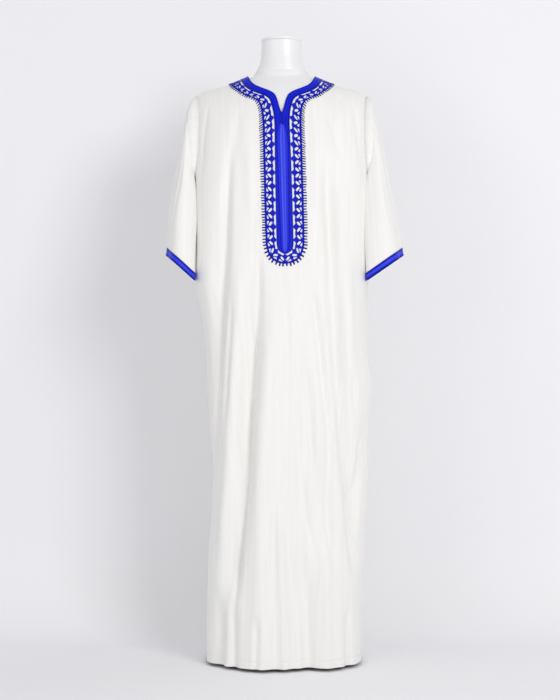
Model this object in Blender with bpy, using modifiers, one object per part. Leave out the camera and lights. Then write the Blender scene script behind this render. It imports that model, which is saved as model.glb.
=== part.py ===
"""A thobe robe hanging on a plain limbless dress form with a round base.

The origin is the middle of the base's underside, on the floor. +Z is up, the robe's
front faces -Y, and +X is on the viewer's right. Sizes are in metres.
"""
import math

import bmesh
import bpy
import numpy as np
from mathutils import Vector

# Cloth walls, seams and the lift of what is sewn on.
WALL = 0.0013
TRIM_WALL = 0.0010
CUFF_WALL = 0.0016
SEAM_GAP = 0.0005
TRIM_LIFT = 0.0006
TRIM_GAP = 0.0004
RIDGE_LIFT = 0.0009
RIDGE_LIFT_SPREAD = 0.16

# The robe's levels and its section.
HEM_Z = 0.012
UNDERARM_Z = 1.137
RIDGE_RISE = UNDERARM_Z + 1.0
SQUARENESS = 3.0
SHOULDER_HALF_WIDTH = 0.2155
CHEST_FRONT_DEPTH = 0.135
CHEST_BACK_DEPTH = 0.125
ARMHOLE_CURVE = 0.17
ARMHOLE_CURVE_START = 0.55

# A row for each section of the robe, floor to underarm: height, half-widths on the
# viewer's left and right, and how far the front and the back stand out.
BODY_SECTIONS = (
    (0.000, 0.184, 0.196, 0.166, 0.160),
    (0.100, 0.184, 0.196, 0.165, 0.158),
    (0.200, 0.182, 0.199, 0.162, 0.153),
    (0.300, 0.178, 0.204, 0.159, 0.148),
    (0.367, 0.173, 0.211, 0.157, 0.145),
    (0.410, 0.170, 0.212, 0.156, 0.143),
    (0.500, 0.169, 0.214, 0.154, 0.140),
    (0.574, 0.176, 0.216, 0.152, 0.138),
    (0.625, 0.179, 0.219, 0.151, 0.137),
    (0.700, 0.183, 0.223, 0.149, 0.135),
    (0.775, 0.186, 0.214, 0.148, 0.133),
    (0.837, 0.193, 0.214, 0.146, 0.131),
    (0.887, 0.203, 0.214, 0.145, 0.130),
    (0.940, 0.2145, 0.2145, 0.143, 0.129),
    (1.040, 0.2155, 0.2155, 0.139, 0.127),
    (UNDERARM_Z, SHOULDER_HALF_WIDTH, SHOULDER_HALF_WIDTH, CHEST_FRONT_DEPTH, CHEST_BACK_DEPTH),
)

# The shoulder line: distance from the middle and height. Inside the neck it is the
# line that the yoke would follow if the neck were closed.
SHOULDER_LINE = (
    (0.000, 1.4765),
    (0.050, 1.4685),
    (0.082, 1.4550),
    (0.131, 1.4350),
    (0.191, 1.4180),
    (SHOULDER_HALF_WIDTH, 1.4055),
)

# The cut of the neck: distance from the middle and height. The front has a slit.
FRONT_NECKLINE = (
    (0.0000, 1.354),
    (0.0060, 1.370),
    (0.0110, 1.389),
    (0.0170, 1.4015),
    (0.0250, 1.409),
    (0.0370, 1.4135),
    (0.0490, 1.419),
    (0.0610, 1.425),
    (0.0720, 1.434),
    (0.0790, 1.447),
    (0.0810, 1.452),
)
BACK_NECKLINE = (
    (0.0000, 1.4257),
    (0.0250, 1.4273),
    (0.0500, 1.4320),
    (0.0680, 1.4400),
    (0.0770, 1.4465),
    (0.0810, 1.4520),
)
NECK_POINT = 0.082

# Where the panels' columns meet the neck and the shoulder, from the middle out. At the
# underarm and below, the same columns stand at even steps of the girth.
FRONT_COLUMNS = (
    0.0000, 0.0060, 0.0110, 0.0170, 0.0250, 0.0360, 0.0480, 0.0600, 0.0690, 0.0760, 0.0802, 0.0820,
    0.0940, 0.1080, 0.1230, 0.1390, 0.1560, 0.1730, 0.1890, 0.2020, 0.2110, 0.2155,
)
BACK_COLUMNS = (
    0.0000, 0.0300, 0.0550, 0.0690, 0.0770, 0.0806, 0.0820, 0.1080, 0.1350, 0.1620, 0.1860, 0.2050, 0.2155,
)
PANEL_ROWS = (
    HEM_Z, 0.070, 0.135, 0.200, 0.270, 0.340, 0.410, 0.480, 0.550, 0.625, 0.700, 0.775, 0.850,
    0.925, 1.000, 1.070, UNDERARM_Z,
)
# Rows of the yoke: level ones up to the foot of the slit, then shares of the way from
# there to the neckline or the shoulder line.
LEVEL_ROWS = (0.05, 0.13, 0.23, 0.33, 0.42)
UPPER_ROWS = (0.15, 0.31, 0.47, 0.62, 0.76, 0.88, 1.0)
# The yoke rows, counted from the underarm, that a sleeve's columns start from.
SLEEVE_COLUMN_ROWS = (0, 1, 2, 3, 5, 7, 9, 10, 12)

# The least fade that a fold's end is worked out with.
LEAST_FADE = 0.0001
# A row for each fold: name, depth (a ridge is above zero), half-width, how far it fades
# in at the top and at the bottom, and its route as heights and distances from the middle.
FRONT_FOLDS = (
    ("left deep fold", -0.017, 0.015, 0.26, 0.12,
     ((1.34, -0.118), (1.137, -0.138), (0.990, -0.143), (0.622, -0.156), (0.480, -0.160))),
    ("left lit ridge", 0.011, 0.024, 0.16, 0.15,
     ((1.060, -0.098), (0.620, -0.118), (0.240, -0.146))),
    ("long left fold", -0.026, 0.018, 0.10, 0.06,
     ((1.035, -0.057), (0.940, -0.054), (0.823, -0.057), (0.661, -0.076), (0.500, -0.091),
      (0.300, -0.105), (0.130, -0.142))),
    ("middle ridge", 0.016, 0.030, 0.20, 0.0,
     ((0.960, -0.012), (0.500, -0.045), (0.0, -0.052))),
    ("right long fold", -0.020, 0.016, 0.16, 0.12,
     ((1.270, 0.106), (1.137, 0.115), (0.823, 0.132), (0.581, 0.149), (0.400, 0.166), (0.198, 0.183))),
    ("right ridge", 0.009, 0.020, 0.20, 0.10,
     ((1.050, 0.150), (0.760, 0.163), (0.560, 0.175))),
    ("right thin fold", -0.010, 0.011, 0.08, 0.12,
     ((0.940, 0.075), (0.702, 0.100), (0.561, 0.115), (0.358, 0.112), (0.230, 0.130))),
    ("middle thin fold", -0.008, 0.011, 0.08, 0.10,
     ((0.760, 0.060), (0.581, 0.069), (0.460, 0.078))),
    ("right hip fold", -0.010, 0.011, 0.07, 0.08,
     ((0.740, 0.170), (0.580, 0.177))),
    ("right side fold", -0.014, 0.016, 0.09, 0.08,
     ((0.620, 0.204), (0.508, 0.195), (0.419, 0.180), (0.340, 0.170))),
    ("right hem fold", -0.020, 0.023, 0.16, 0.0,
     ((0.310, 0.056), (0.0, 0.066))),
    ("narrow hem ridge", 0.009, 0.012, 0.15, 0.0,
     ((0.470, -0.010), (0.0, 0.006))),
    ("left hem fold", -0.016, 0.016, 0.09, 0.0,
     ((0.190, -0.118), (0.0, -0.118))),
    ("left corner fold", -0.020, 0.026, 0.12, 0.0,
     ((0.210, -0.150), (0.0, -0.158))),
    ("thin left hem fold", -0.008, 0.010, 0.06, 0.0,
     ((0.150, -0.057), (0.0, -0.060))),
    ("far right hem fold", -0.010, 0.012, 0.06, 0.0,
     ((0.170, 0.160), (0.0, 0.163))),
)
BACK_FOLDS = (
    ("left blade fold", -0.014, 0.018, 0.20, 0.15,
     ((1.240, -0.120), (0.900, -0.135), (0.500, -0.140))),
    ("long middle fold", -0.024, 0.020, 0.18, 0.0,
     ((1.100, -0.045), (0.640, -0.060), (0.0, -0.085))),
    ("middle back ridge", 0.015, 0.028, 0.20, 0.0,
     ((1.020, 0.000), (0.500, -0.015), (0.0, -0.030))),
    ("right back fold", -0.023, 0.020, 0.18, 0.0,
     ((1.120, 0.062), (0.600, 0.070), (0.0, 0.050))),
    ("right back ridge", 0.012, 0.024, 0.20, 0.0,
     ((0.900, 0.105), (0.400, 0.110), (0.0, 0.105))),
    ("right side back fold", -0.016, 0.018, 0.15, 0.10,
     ((1.060, 0.135), (0.600, 0.155), (0.180, 0.160))),
    ("left back ridge", 0.011, 0.024, 0.18, 0.0,
     ((0.800, -0.105), (0.0, -0.128))),
    ("left hem back fold", -0.018, 0.018, 0.14, 0.0,
     ((0.460, -0.155), (0.0, -0.160))),
    ("right hem back fold", -0.014, 0.016, 0.12, 0.0,
     ((0.340, 0.142), (0.0, 0.150))),
)

# A row for each ring of a sleeve after the armhole: outer height, outer distance on the
# viewer's left and right, inner height, inner distance and half the depth front to back.
SLEEVE_RINGS = (
    (1.4010, 0.2225, 0.2215, 1.1405, 0.2215, 0.052),
    (1.3870, 0.2285, 0.2255, 1.1380, 0.2240, 0.056),
    (1.3620, 0.2350, 0.2315, 1.1280, 0.2245, 0.062),
    (1.3250, 0.2430, 0.2400, 1.1140, 0.2230, 0.070),
    (1.2800, 0.2510, 0.2515, 1.0970, 0.2215, 0.078),
    (1.2350, 0.2585, 0.2610, 1.0790, 0.2205, 0.085),
    (1.1900, 0.2680, 0.2690, 1.0600, 0.2200, 0.091),
    (1.1450, 0.2755, 0.2780, 1.0400, 0.2198, 0.096),
    (1.1050, 0.2800, 0.2870, 1.0200, 0.2197, 0.098),
    (1.0700, 0.2820, 0.2940, 1.0000, 0.2196, 0.099),
    (1.0290, 0.2840, 0.3000, 0.9720, 0.2195, 0.100),
)
CUFF_RINGS = (
    (1.0280, 0.2841, 0.3001, 0.9710, 0.2195, 0.1000),
    (1.0190, 0.2855, 0.3015, 0.9620, 0.2193, 0.1004),
    (1.0100, 0.2870, 0.3030, 0.9530, 0.2190, 0.1008),
)
SLEEVE_ROUNDNESS = 2.2
# How much of the armhole's shape the first rings keep.
ARMHOLE_SHARES = (1.0, 0.85, 0.6, 0.35, 0.15)
SLEEVE_START_GAP = 0.0006
# A row for each long fold of a sleeve: place round the ring in degrees from its outer
# edge, towards the front, depth and half-width in degrees.
SLEEVE_FOLDS = (
    (42.0, -0.006, 13.0),
    (95.0, 0.005, 20.0),
    (-50.0, -0.006, 14.0),
    (-100.0, 0.005, 20.0),
)

# The neck trim: a row for each station from the back middle to the bottom of the bib, for
# the half on the viewer's right. It gives the face, then distance and height of the solid
# braid's inner edge, of its outer edge and of the embroidered border's outer line.
TRIM_STATIONS = (
    ("back", 0.0000, 1.4257, 0.0000, 1.4090, 0.0000, 1.3815),
    ("back", 0.0250, 1.4273, 0.0310, 1.4102, 0.0390, 1.3835),
    ("back", 0.0500, 1.4320, 0.0600, 1.4160, 0.0780, 1.3940),
    ("back", 0.0680, 1.4400, 0.0830, 1.4270, 0.1060, 1.4095),
    ("back", 0.0780, 1.4470, 0.0965, 1.4390, 0.1200, 1.4250),
    ("ridge", 0.0820, 0.0, 0.1020, 0.0, 0.1265, 0.0),
    ("front", 0.0790, 1.4470, 0.0980, 1.4370, 0.1205, 1.4240),
    ("front", 0.0720, 1.4340, 0.0870, 1.4205, 0.1030, 1.4080),
    ("front", 0.0610, 1.4250, 0.0720, 1.4100, 0.0860, 1.3960),
    ("front", 0.0450, 1.4172, 0.0560, 1.4025, 0.0690, 1.3890),
    ("front", 0.0310, 1.4112, 0.0420, 1.3970, 0.0585, 1.3800),
    ("front", 0.0190, 1.4035, 0.0310, 1.3880, 0.0530, 1.3660),
    ("front", 0.0110, 1.3890, 0.0240, 1.3680, 0.0505, 1.3480),
    ("front", 0.0055, 1.3685, 0.0200, 1.3450, 0.0495, 1.3280),
    ("front", 0.0006, 1.3520, 0.0190, 1.3270, 0.0495, 1.3110),
    ("front", 0.0006, 1.3380, 0.0190, 1.3080, 0.0495, 1.2940),
    ("front", 0.0070, 1.3200, 0.0193, 1.2850, 0.0495, 1.2720),
    ("front", 0.0128, 1.2950, 0.0196, 1.2500, 0.0495, 1.2450),
    ("front", 0.0122, 1.2000, 0.0200, 1.2000, 0.0495, 1.2000),
    ("front", 0.0105, 1.1000, 0.0206, 1.1000, 0.0495, 1.1000),
    ("front", 0.0095, 1.0500, 0.0206, 1.0500, 0.0490, 1.0500),
    ("front", 0.0088, 1.0240, 0.0206, 1.0240, 0.0470, 1.0210),
    ("front", 0.0086, 1.0120, 0.0190, 1.0090, 0.0370, 0.9965),
    ("front", 0.0086, 1.0065, 0.0110, 1.0045, 0.0190, 0.9840),
    ("front", 0.0000, 1.0040, 0.0000, 1.0040, 0.0000, 0.9805),
)
# The bib's middle drifts to the viewer's right on its way down.
BIB_DRIFT = 0.0086
BIB_DRIFT_TOP = 1.370
BIB_DRIFT_BOTTOM = 1.030
# Half the distances over which the slope of the cloth under the trim is measured, and
# what a rise above the underarm counts as height for the drift.
SLOPE_ACROSS = 0.002
SLOPE_UP = 0.006
DRIFT_PER_RISE = 0.5

# One repeat of the embroidered border. Points are shares across the border (0 at the
# braid, 1 at the outer line's edge) and along half of the repeat (0 at its star).
HALF_REPEATS = 20
NOTCH_FOOT = 0.33
REPEAT_POINTS = {
    "star_inner": (0.19, 0.00),
    "notch_foot": (0.00, NOTCH_FOOT),
    "link": (0.36, 0.50),
    "line_inner_end": (0.83, 0.50),
    "line_outer_end": (1.00, 0.50),
    "line_outer_start": (1.00, 0.00),
    "line_inner_start": (0.83, 0.00),
    "leaf_low": (0.31, 0.185),
    "leaf_star": (0.43, 0.085),
    "leaf_line": (0.67, 0.315),
    "leaf_top": (0.55, 0.415),
}
REPEAT_FACES = (
    ("star_inner", "leaf_low", "notch_foot"),
    ("notch_foot", "leaf_low", "leaf_top"),
    ("notch_foot", "leaf_top", "link"),
    ("notch_foot", "link", "foot"),
    ("star_inner", "leaf_star", "leaf_low"),
    ("star_inner", "line_inner_start", "leaf_star"),
    ("line_inner_start", "leaf_line", "leaf_star"),
    ("line_inner_start", "line_inner_end", "leaf_line"),
    ("line_inner_end", "leaf_top", "leaf_line"),
    ("line_inner_end", "link", "leaf_top"),
)
PICOTS_PER_HALF_REPEAT = 3
PICOT_LENGTH = 0.21
BRAID_WIDTH = 0.018
BORDER_WIDTH = 0.029
SLIT_BOTTOM = 1.354
# The least half-width of the placket's pointed top, the least share of the trim's length
# between two rows of the braid and the distance that joins corners of the border.
PLACKET_TIP = 0.001
LEAST_ROW_STEP = 0.004
JOIN_DISTANCE = 0.00005

# The dress form: a row for each ring, with height, half-width, front and back.
FORM_RINGS = (
    (0.800, 0.128, 0.082, 0.090),
    (0.812, 0.146, 0.090, 0.096),
    (0.900, 0.144, 0.091, 0.096),
    (1.000, 0.136, 0.090, 0.087),
    (1.100, 0.152, 0.108, 0.098),
    (1.200, 0.166, 0.120, 0.108),
    (1.280, 0.174, 0.112, 0.102),
    (1.330, 0.183, 0.104, 0.096),
    (1.365, 0.192, 0.096, 0.088),
    (1.390, 0.1985, 0.087, 0.080),
    (1.4055, 0.2010, 0.090, 0.088),
    (1.4120, 0.1985, 0.090, 0.088),
    (1.4180, 0.1885, 0.090, 0.088),
    (1.4265, 0.1580, 0.074, 0.066),
    (1.4350, 0.1285, 0.067, 0.060),
    (1.4425, 0.1080, 0.059, 0.056),
    (1.4485, 0.0890, 0.053, 0.053),
    (1.4580, 0.0700, 0.051, 0.054),
    (1.4745, 0.0610, 0.050, 0.054),
    (1.4870, 0.0550, 0.049, 0.053),
    (1.5050, 0.0513, 0.047, 0.052),
    (1.5300, 0.0500, 0.046, 0.051),
    (1.5446, 0.0497, 0.046, 0.051),
)
FORM_ROUNDNESS = 2.15
FORM_GAP = 0.0018
FORM_NECK_Z = 1.450
FORM_SIDES = 24
NECK_CAP = {"radius": 0.0505, "height": 0.0055, "bottom": 1.5449, "middle_y": 0.0025}

# The stand.
BASE_RADIUS = 0.130
BASE_HEIGHT = 0.008
POLE_RADIUS = 0.016
POLE_GAP = 0.0003

CLOTH_COLOUR = (0.80, 0.78, 0.73)
BRAID_COLOUR = (0.012, 0.017, 0.58)
PLACKET_COLOUR = (0.035, 0.045, 0.80)
FORM_COLOUR = (0.82, 0.82, 0.82)
STEEL_COLOUR = (0.30, 0.30, 0.31)


def smooth(at, stops, values):
    """Smooth curve through a table's rows, held at its first and last row."""
    stops = np.asarray(stops, float)
    values = np.asarray(values, float)
    slopes = np.gradient(values, stops)
    row = np.clip(np.searchsorted(stops, at) - 1, 0, len(stops) - 2)
    step = stops[row + 1] - stops[row]
    t = np.clip((at - stops[row]) / step, 0.0, 1.0)
    start = (2 * t**3 - 3 * t**2 + 1) * values[row] + (t**3 - 2 * t**2 + t) * step * slopes[row]
    end = (3 * t**2 - 2 * t**3) * values[row + 1] + (t**3 - t**2) * step * slopes[row + 1]
    return start + end


def column(table, number):
    """One column of a table."""
    return np.array([row[number] for row in table], float)


def unit_section():
    """A quarter of the robe's section: shares of its girth, width and depth."""
    turn = np.linspace(0.0, math.pi / 2, 500)
    across = np.sin(turn) ** (2 / SQUARENESS)
    out = np.cos(turn) ** (2 / SQUARENESS)
    steps = np.hypot(np.diff(across) * SHOULDER_HALF_WIDTH, np.diff(out) * CHEST_FRONT_DEPTH)
    girth = np.concatenate(([0.0], np.cumsum(steps)))
    return girth / girth[-1], across, out, girth[-1]


GIRTH_SHARE, ACROSS, OUT, QUARTER_GIRTH = unit_section()


def ridge_height(x):
    """Height of the shoulder line at a distance from the middle."""
    return smooth(np.abs(x), column(SHOULDER_LINE, 0), column(SHOULDER_LINE, 1))


def half_width(share, z):
    """Half-width of the robe on the side that a girth share lies on."""
    left = smooth(z, column(BODY_SECTIONS, 0), column(BODY_SECTIONS, 1))
    right = smooth(z, column(BODY_SECTIONS, 0), column(BODY_SECTIONS, 2))
    return np.where(np.asarray(share) < 0, left, right)


def share_at(x, z):
    """Girth share, -1 to 1 between the side seams, of a distance from the middle."""
    part = np.clip(np.abs(x) / half_width(x, z), 0.0, 1.0)
    return np.sign(x) * np.interp(part, ACROSS, GIRTH_SHARE)


def fold_offset(folds, share, z):
    """How far the folds move the cloth out at a girth share and a height."""
    total = np.zeros(np.broadcast(share, z).shape)
    for name, depth, width, fade_top, fade_bottom, route in folds:
        heights = column(route, 0)[::-1]
        middle = share_at(smooth(z, heights, column(route, 1)[::-1]), z)
        away = (share - middle) * QUARTER_GIRTH / width
        top = np.clip((heights[-1] - z) / max(fade_top, LEAST_FADE), 0.0, 1.0)
        bottom = np.clip((z - heights[0]) / max(fade_bottom, LEAST_FADE), 0.0, 1.0)
        fade = top * top * (3 - 2 * top) * bottom * bottom * (3 - 2 * bottom)
        total = total + depth * fade * np.exp(-away * away)
    return total


def robe_points(front, share, rise):
    """Points of the robe's inner face.

    share runs from -1 to 1 between the side seams. rise is a height below the underarm
    and above it goes from UNDERARM_Z to RIDGE_RISE at the shoulder line.
    """
    share, rise = np.broadcast_arrays(np.asarray(share, float), np.asarray(rise, float))
    z = np.minimum(rise, UNDERARM_Z)
    turn = np.clip(rise - UNDERARM_Z, 0.0, 1.0) * math.pi / 2
    depth = smooth(z, column(BODY_SECTIONS, 0), column(BODY_SECTIONS, 3 if front else 4))
    width = half_width(share, z)
    across = np.interp(np.abs(share), GIRTH_SHARE, ACROSS)
    out = np.interp(np.abs(share), GIRTH_SHARE, OUT)
    side = np.where(share < 0, -1.0, 1.0)
    facing = -1.0 if front else 1.0
    height = z + (ridge_height(width * across) - UNDERARM_Z) * np.sin(turn)
    push_x = side * across ** (SQUARENESS - 1) / width
    push_y = facing * out ** (SQUARENESS - 1) / depth
    length = np.hypot(push_x, push_y)
    offset = fold_offset(FRONT_FOLDS if front else BACK_FOLDS, share, height)
    x = side * width * across + push_x / length * offset
    y = facing * depth * out * np.cos(turn) + push_y / length * offset
    if front:
        y = np.minimum(y, -SEAM_GAP / 2)
    else:
        y = np.maximum(y, SEAM_GAP / 2)
    return np.stack((x, y, height), axis=-1)


def rise_at(x, z):
    """The rise that puts a point of the robe at a height."""
    x, z = np.broadcast_arrays(np.asarray(x, float), np.asarray(z, float))
    part = np.clip((z - UNDERARM_Z) / (ridge_height(x) - UNDERARM_Z), 0.0, 1.0)
    return np.where(z <= UNDERARM_Z, z, UNDERARM_Z + np.arcsin(part) * 2 / math.pi)


def material(name, colour, roughness, metallic=0.0):
    """A plain Principled material."""
    made = bpy.data.materials.new(name)
    made.use_nodes = True
    shader = made.node_tree.nodes["Principled BSDF"]
    shader.inputs["Base Color"].default_value = (*colour, 1.0)
    shader.inputs["Roughness"].default_value = roughness
    shader.inputs["Metallic"].default_value = metallic
    made.diffuse_color = (*colour, 1.0)
    return made


def add_object(name, vertices, faces, look, wall=0.0):
    """A named object, with a wall added on its outer side where it is a sheet."""
    mesh = bpy.data.meshes.new(name)
    mesh.from_pydata([tuple(point) for point in vertices], [], faces)
    mesh.materials.append(look)
    mesh.shade_smooth()
    made = bpy.data.objects.new(name, mesh)
    robe_collection.objects.link(made)
    if wall:
        solidify = made.modifiers.new("wall", "SOLIDIFY")
        solidify.thickness = wall
        solidify.offset = 1.0
        solidify.use_even_offset = True
    return made


def grid_faces(rows, columns, closed=False, flip=False):
    """Faces of a grid of points stored row by row."""
    faces = []
    spans = columns if closed else columns - 1
    for row in range(rows - 1):
        for place in range(spans):
            beside = (place + 1) % columns
            corners = (row * columns + place, row * columns + beside,
                       (row + 1) * columns + beside, (row + 1) * columns + place)
            faces.append(corners[::-1] if flip else corners)
    return faces


def slide_columns(shares, z, folds, guides):
    """Move the columns with the guide folds, so that each stays on one column."""
    step = shares[-1] - shares[-2]
    rest = [-1.0]
    here = [-1.0]
    for name in guides:
        route = next(fold[5] for fold in folds if fold[0] == name)
        heights = column(route, 0)[::-1]
        places = column(route, 1)[::-1]
        start = float(share_at(smooth(UNDERARM_Z, heights, places), UNDERARM_Z))
        rest.append(round(start / step) * step)
        here.append(float(share_at(smooth(z, heights, places), z)))
    return np.interp(shares, rest + [1.0], here + [1.0])


def panel_grid(front, stops, folds, guides, neckline):
    """Rows of points of the front or the back, from the hem to the neck and shoulders."""
    places = np.concatenate((-np.array(stops)[:0:-1], stops))
    top_shares = share_at(places, UNDERARM_Z)
    low_shares = np.linspace(-1.0, 1.0, len(places))
    on_neck = np.abs(places) < NECK_POINT - 0.00001
    neck_z = np.interp(np.abs(places), column(neckline, 0), column(neckline, 1))
    top_climb = np.where(on_neck, rise_at(places, neck_z), RIDGE_RISE) - UNDERARM_Z
    rows = []
    for z in PANEL_ROWS:
        rows.append(robe_points(front, slide_columns(low_shares, z, folds, guides), z))
    last_level = LEVEL_ROWS[-1]
    climbs = [np.full(len(places), level) for level in LEVEL_ROWS]
    climbs += [last_level + part * (top_climb - last_level) for part in UPPER_ROWS]
    outer_part = (np.abs(low_shares) - ARMHOLE_CURVE_START) / (1.0 - ARMHOLE_CURVE_START)
    outer_part = np.clip(outer_part, 0.0, 1.0) ** 2
    for climb in climbs:
        progress = climb[0]
        blend = progress * progress * (3 - 2 * progress)
        shares = low_shares + (top_shares - low_shares) * blend
        narrowing = ARMHOLE_CURVE * math.sqrt(max(math.sin(math.pi * progress), 0.0))
        rows.append(robe_points(front, shares * (1.0 - narrowing * outer_part), UNDERARM_Z + climb))
    return np.array(rows)


def sleeve_ring(row, side, turns):
    """A ring of a sleeve from a table's row: turns of 0 are at its outer edge."""
    outer_z, outer_left, outer_right, inner_z, inner, half_depth = row
    outer = outer_left if side < 0 else outer_right
    middle = np.array((side * (outer + inner) / 2, 0.0, (outer_z + inner_z) / 2))
    arm = np.array((side * (outer - inner) / 2, 0.0, (outer_z - inner_z) / 2))
    depth = np.array((0.0, half_depth, 0.0))
    power = 2 / SLEEVE_ROUNDNESS
    along = np.sign(np.cos(turns)) * np.abs(np.cos(turns)) ** power
    deep = -np.sign(np.sin(turns)) * np.abs(np.sin(turns)) ** power
    swell = np.zeros(len(turns))
    for place, amount, width in SLEEVE_FOLDS:
        away = (np.degrees(turns) - place + 180) % 360 - 180
        swell = swell + amount * np.exp(-((away / width) ** 2))
    grow = 1.0 + swell / half_depth
    return middle + along[:, None] * arm * grow[:, None] + deep[:, None] * depth * grow[:, None]


def armhole_loop(front_grid, back_grid, side):
    """Points of the armhole's edge, from the shoulder by the front to the underarm."""
    edge = -1 if side > 0 else 0
    first = len(PANEL_ROWS) - 1
    rows = [first + number for number in SLEEVE_COLUMN_ROWS]
    front = front_grid[rows, edge]
    back = back_grid[rows, edge]
    loop = np.concatenate((front[::-1], back[1:-1]))
    loop[0, 1] = 0.0
    loop[len(front) - 1, 1] = 0.0
    return loop


def ring_turns(loop):
    """Angle of each point of the armhole round its middle, 0 at the shoulder."""
    middle = (loop[:, 2].max() + loop[:, 2].min()) / 2
    reach = (loop[:, 2].max() - loop[:, 2].min()) / 2
    turns = np.arccos(np.clip((loop[:, 2] - middle) / reach, -1.0, 1.0))
    return np.where(loop[:, 1] > 1e-6, 2 * math.pi - turns, turns)


def build_sleeve(name, side, loop, look):
    """A sleeve from the armhole down to its cuff seam."""
    start = loop.copy()
    start[:, 0] += side * (WALL + SLEEVE_START_GAP)
    turns = ring_turns(loop)
    rings = [start]
    for place, row in enumerate(SLEEVE_RINGS):
        ring = sleeve_ring(row, side, turns)
        if place < len(ARMHOLE_SHARES):
            keep = ARMHOLE_SHARES[place]
            ring[:, 1:] = keep * loop[:, 1:] + (1.0 - keep) * ring[:, 1:]
        rings.append(ring)
    points = np.concatenate(rings)
    faces = grid_faces(len(rings), len(turns), closed=True, flip=side < 0)
    return add_object(name, points, faces, look, WALL)


def build_cuff(name, side, loop, look):
    """The satin band on a sleeve's end."""
    turns = ring_turns(loop)
    rings = [sleeve_ring(row, side, turns) for row in CUFF_RINGS]
    faces = grid_faces(len(rings), len(turns), closed=True, flip=side < 0)
    return add_object(name, np.concatenate(rings), faces, look, CUFF_WALL)


def wrap_rise(face, x, z):
    """Rise along the front, over the shoulder line at RIDGE_RISE and down the back."""
    if face == "ridge":
        return RIDGE_RISE
    rise = float(rise_at(x, z))
    return rise if face == "front" else 2 * RIDGE_RISE - rise


def wrapped_points(x, rise):
    """Points of the robe's inner face at distances from the middle and wrapped rises."""
    climb = np.where(rise <= RIDGE_RISE, rise, 2 * RIDGE_RISE - rise)
    share = share_at(x, np.minimum(climb, UNDERARM_Z))
    front = robe_points(True, share, climb)
    back = robe_points(False, share, climb)
    return np.where((rise <= RIDGE_RISE)[:, None], front, back)


def trim_points(side, x, rise):
    """Points of the sewn-on trim: on the robe with the bib's drift, moved out."""
    level = np.where(rise < UNDERARM_Z, rise, UNDERARM_Z + (rise - UNDERARM_Z) * DRIFT_PER_RISE)
    part = (BIB_DRIFT_TOP - level) / (BIB_DRIFT_TOP - BIB_DRIFT_BOTTOM)
    place = side * x + BIB_DRIFT * np.clip(part, 0.0, 1.0)
    across = wrapped_points(place + SLOPE_ACROSS, rise) - wrapped_points(place - SLOPE_ACROSS, rise)
    up = wrapped_points(place, rise + SLOPE_UP) - wrapped_points(place, rise - SLOPE_UP)
    out = np.cross(across, up)
    out = out / np.linalg.norm(out, axis=1)[:, None]
    ridge_part = np.exp(-(((rise - RIDGE_RISE) / RIDGE_LIFT_SPREAD) ** 2))
    lift = WALL + TRIM_LIFT + RIDGE_LIFT * ridge_part
    return wrapped_points(place, rise) + out * lift[:, None]


class Rails:
    """The three edges of the neck trim, by share of its length from the back middle."""

    def __init__(self, stations):
        self.edges = {}
        for name, number in (("neck", 1), ("braid", 3), ("border", 5)):
            rises = [wrap_rise(row[0], row[number], row[number + 1]) for row in stations]
            self.edges[name] = (column(stations, number), np.array(rises))
        middle_x = (self.edges["braid"][0] + self.edges["border"][0]) / 2
        middle_rise = (self.edges["braid"][1] + self.edges["border"][1]) / 2
        steps = np.diff(wrapped_points(middle_x, middle_rise), axis=0)
        reach = np.concatenate(([0.0], np.cumsum(np.linalg.norm(steps, axis=1))))
        self.stops = reach / reach[-1]

    def place(self, inner, outer, along, across):
        """Distance from the middle and rise, at shares along and across between two edges."""
        inner_x, inner_rise = (smooth(along, self.stops, part) for part in self.edges[inner])
        outer_x, outer_rise = (smooth(along, self.stops, part) for part in self.edges[outer])
        return inner_x + (outer_x - inner_x) * across, inner_rise + (outer_rise - inner_rise) * across


def braid_rows(rails):
    """Shares along the trim where the border's notches start, end and have their star."""
    rows = []
    for repeat in range(HALF_REPEATS):
        for part in (-NOTCH_FOOT, 0.0, NOTCH_FOOT):
            rows.append((repeat + 0.5 + part) / HALF_REPEATS)
    last = rails.stops[-2]
    return np.array([row for row in rows if row < last - LEAST_ROW_STEP] + [last])


def build_neckband(rails, look):
    """The solid braid round the neck, down the slit and beside the placket."""
    rows = braid_rows(rails)
    sides = np.concatenate((-np.ones(len(rows)), np.ones(len(rows))))
    along = np.concatenate((rows[::-1], rows))
    inset = TRIM_GAP / BRAID_WIDTH
    strips = []
    for across in (0.0, 1.0 - inset):
        x, rise = rails.place("neck", "braid", along, np.full(len(along), across))
        strips.append(trim_points(sides, np.maximum(x, TRIM_GAP / 2 + 0.0001), rise))
    points = np.stack(strips, axis=1).reshape(-1, 3)
    return add_object("neckband", points, grid_faces(len(along), 2, flip=True), look, TRIM_WALL)


def build_placket(rails, look):
    """The lighter braid that closes the placket below the slit."""
    rows = braid_rows(rails)
    x, rise = rails.place("neck", "braid", rows, np.zeros(len(rows)))
    half = x - TRIM_GAP
    inside = (rise < wrap_rise("front", 0.0, SLIT_BOTTOM)) & (half > PLACKET_TIP)
    half = half[inside][::-1]
    rise = rise[inside][::-1]
    strips = [trim_points(1.0, share * half, rise) for share in (-1.0, 1.0)]
    points = np.stack(strips, axis=1).reshape(-1, 3)
    return add_object("placket_braid", points, grid_faces(len(half), 2), look, TRIM_WALL)


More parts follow.
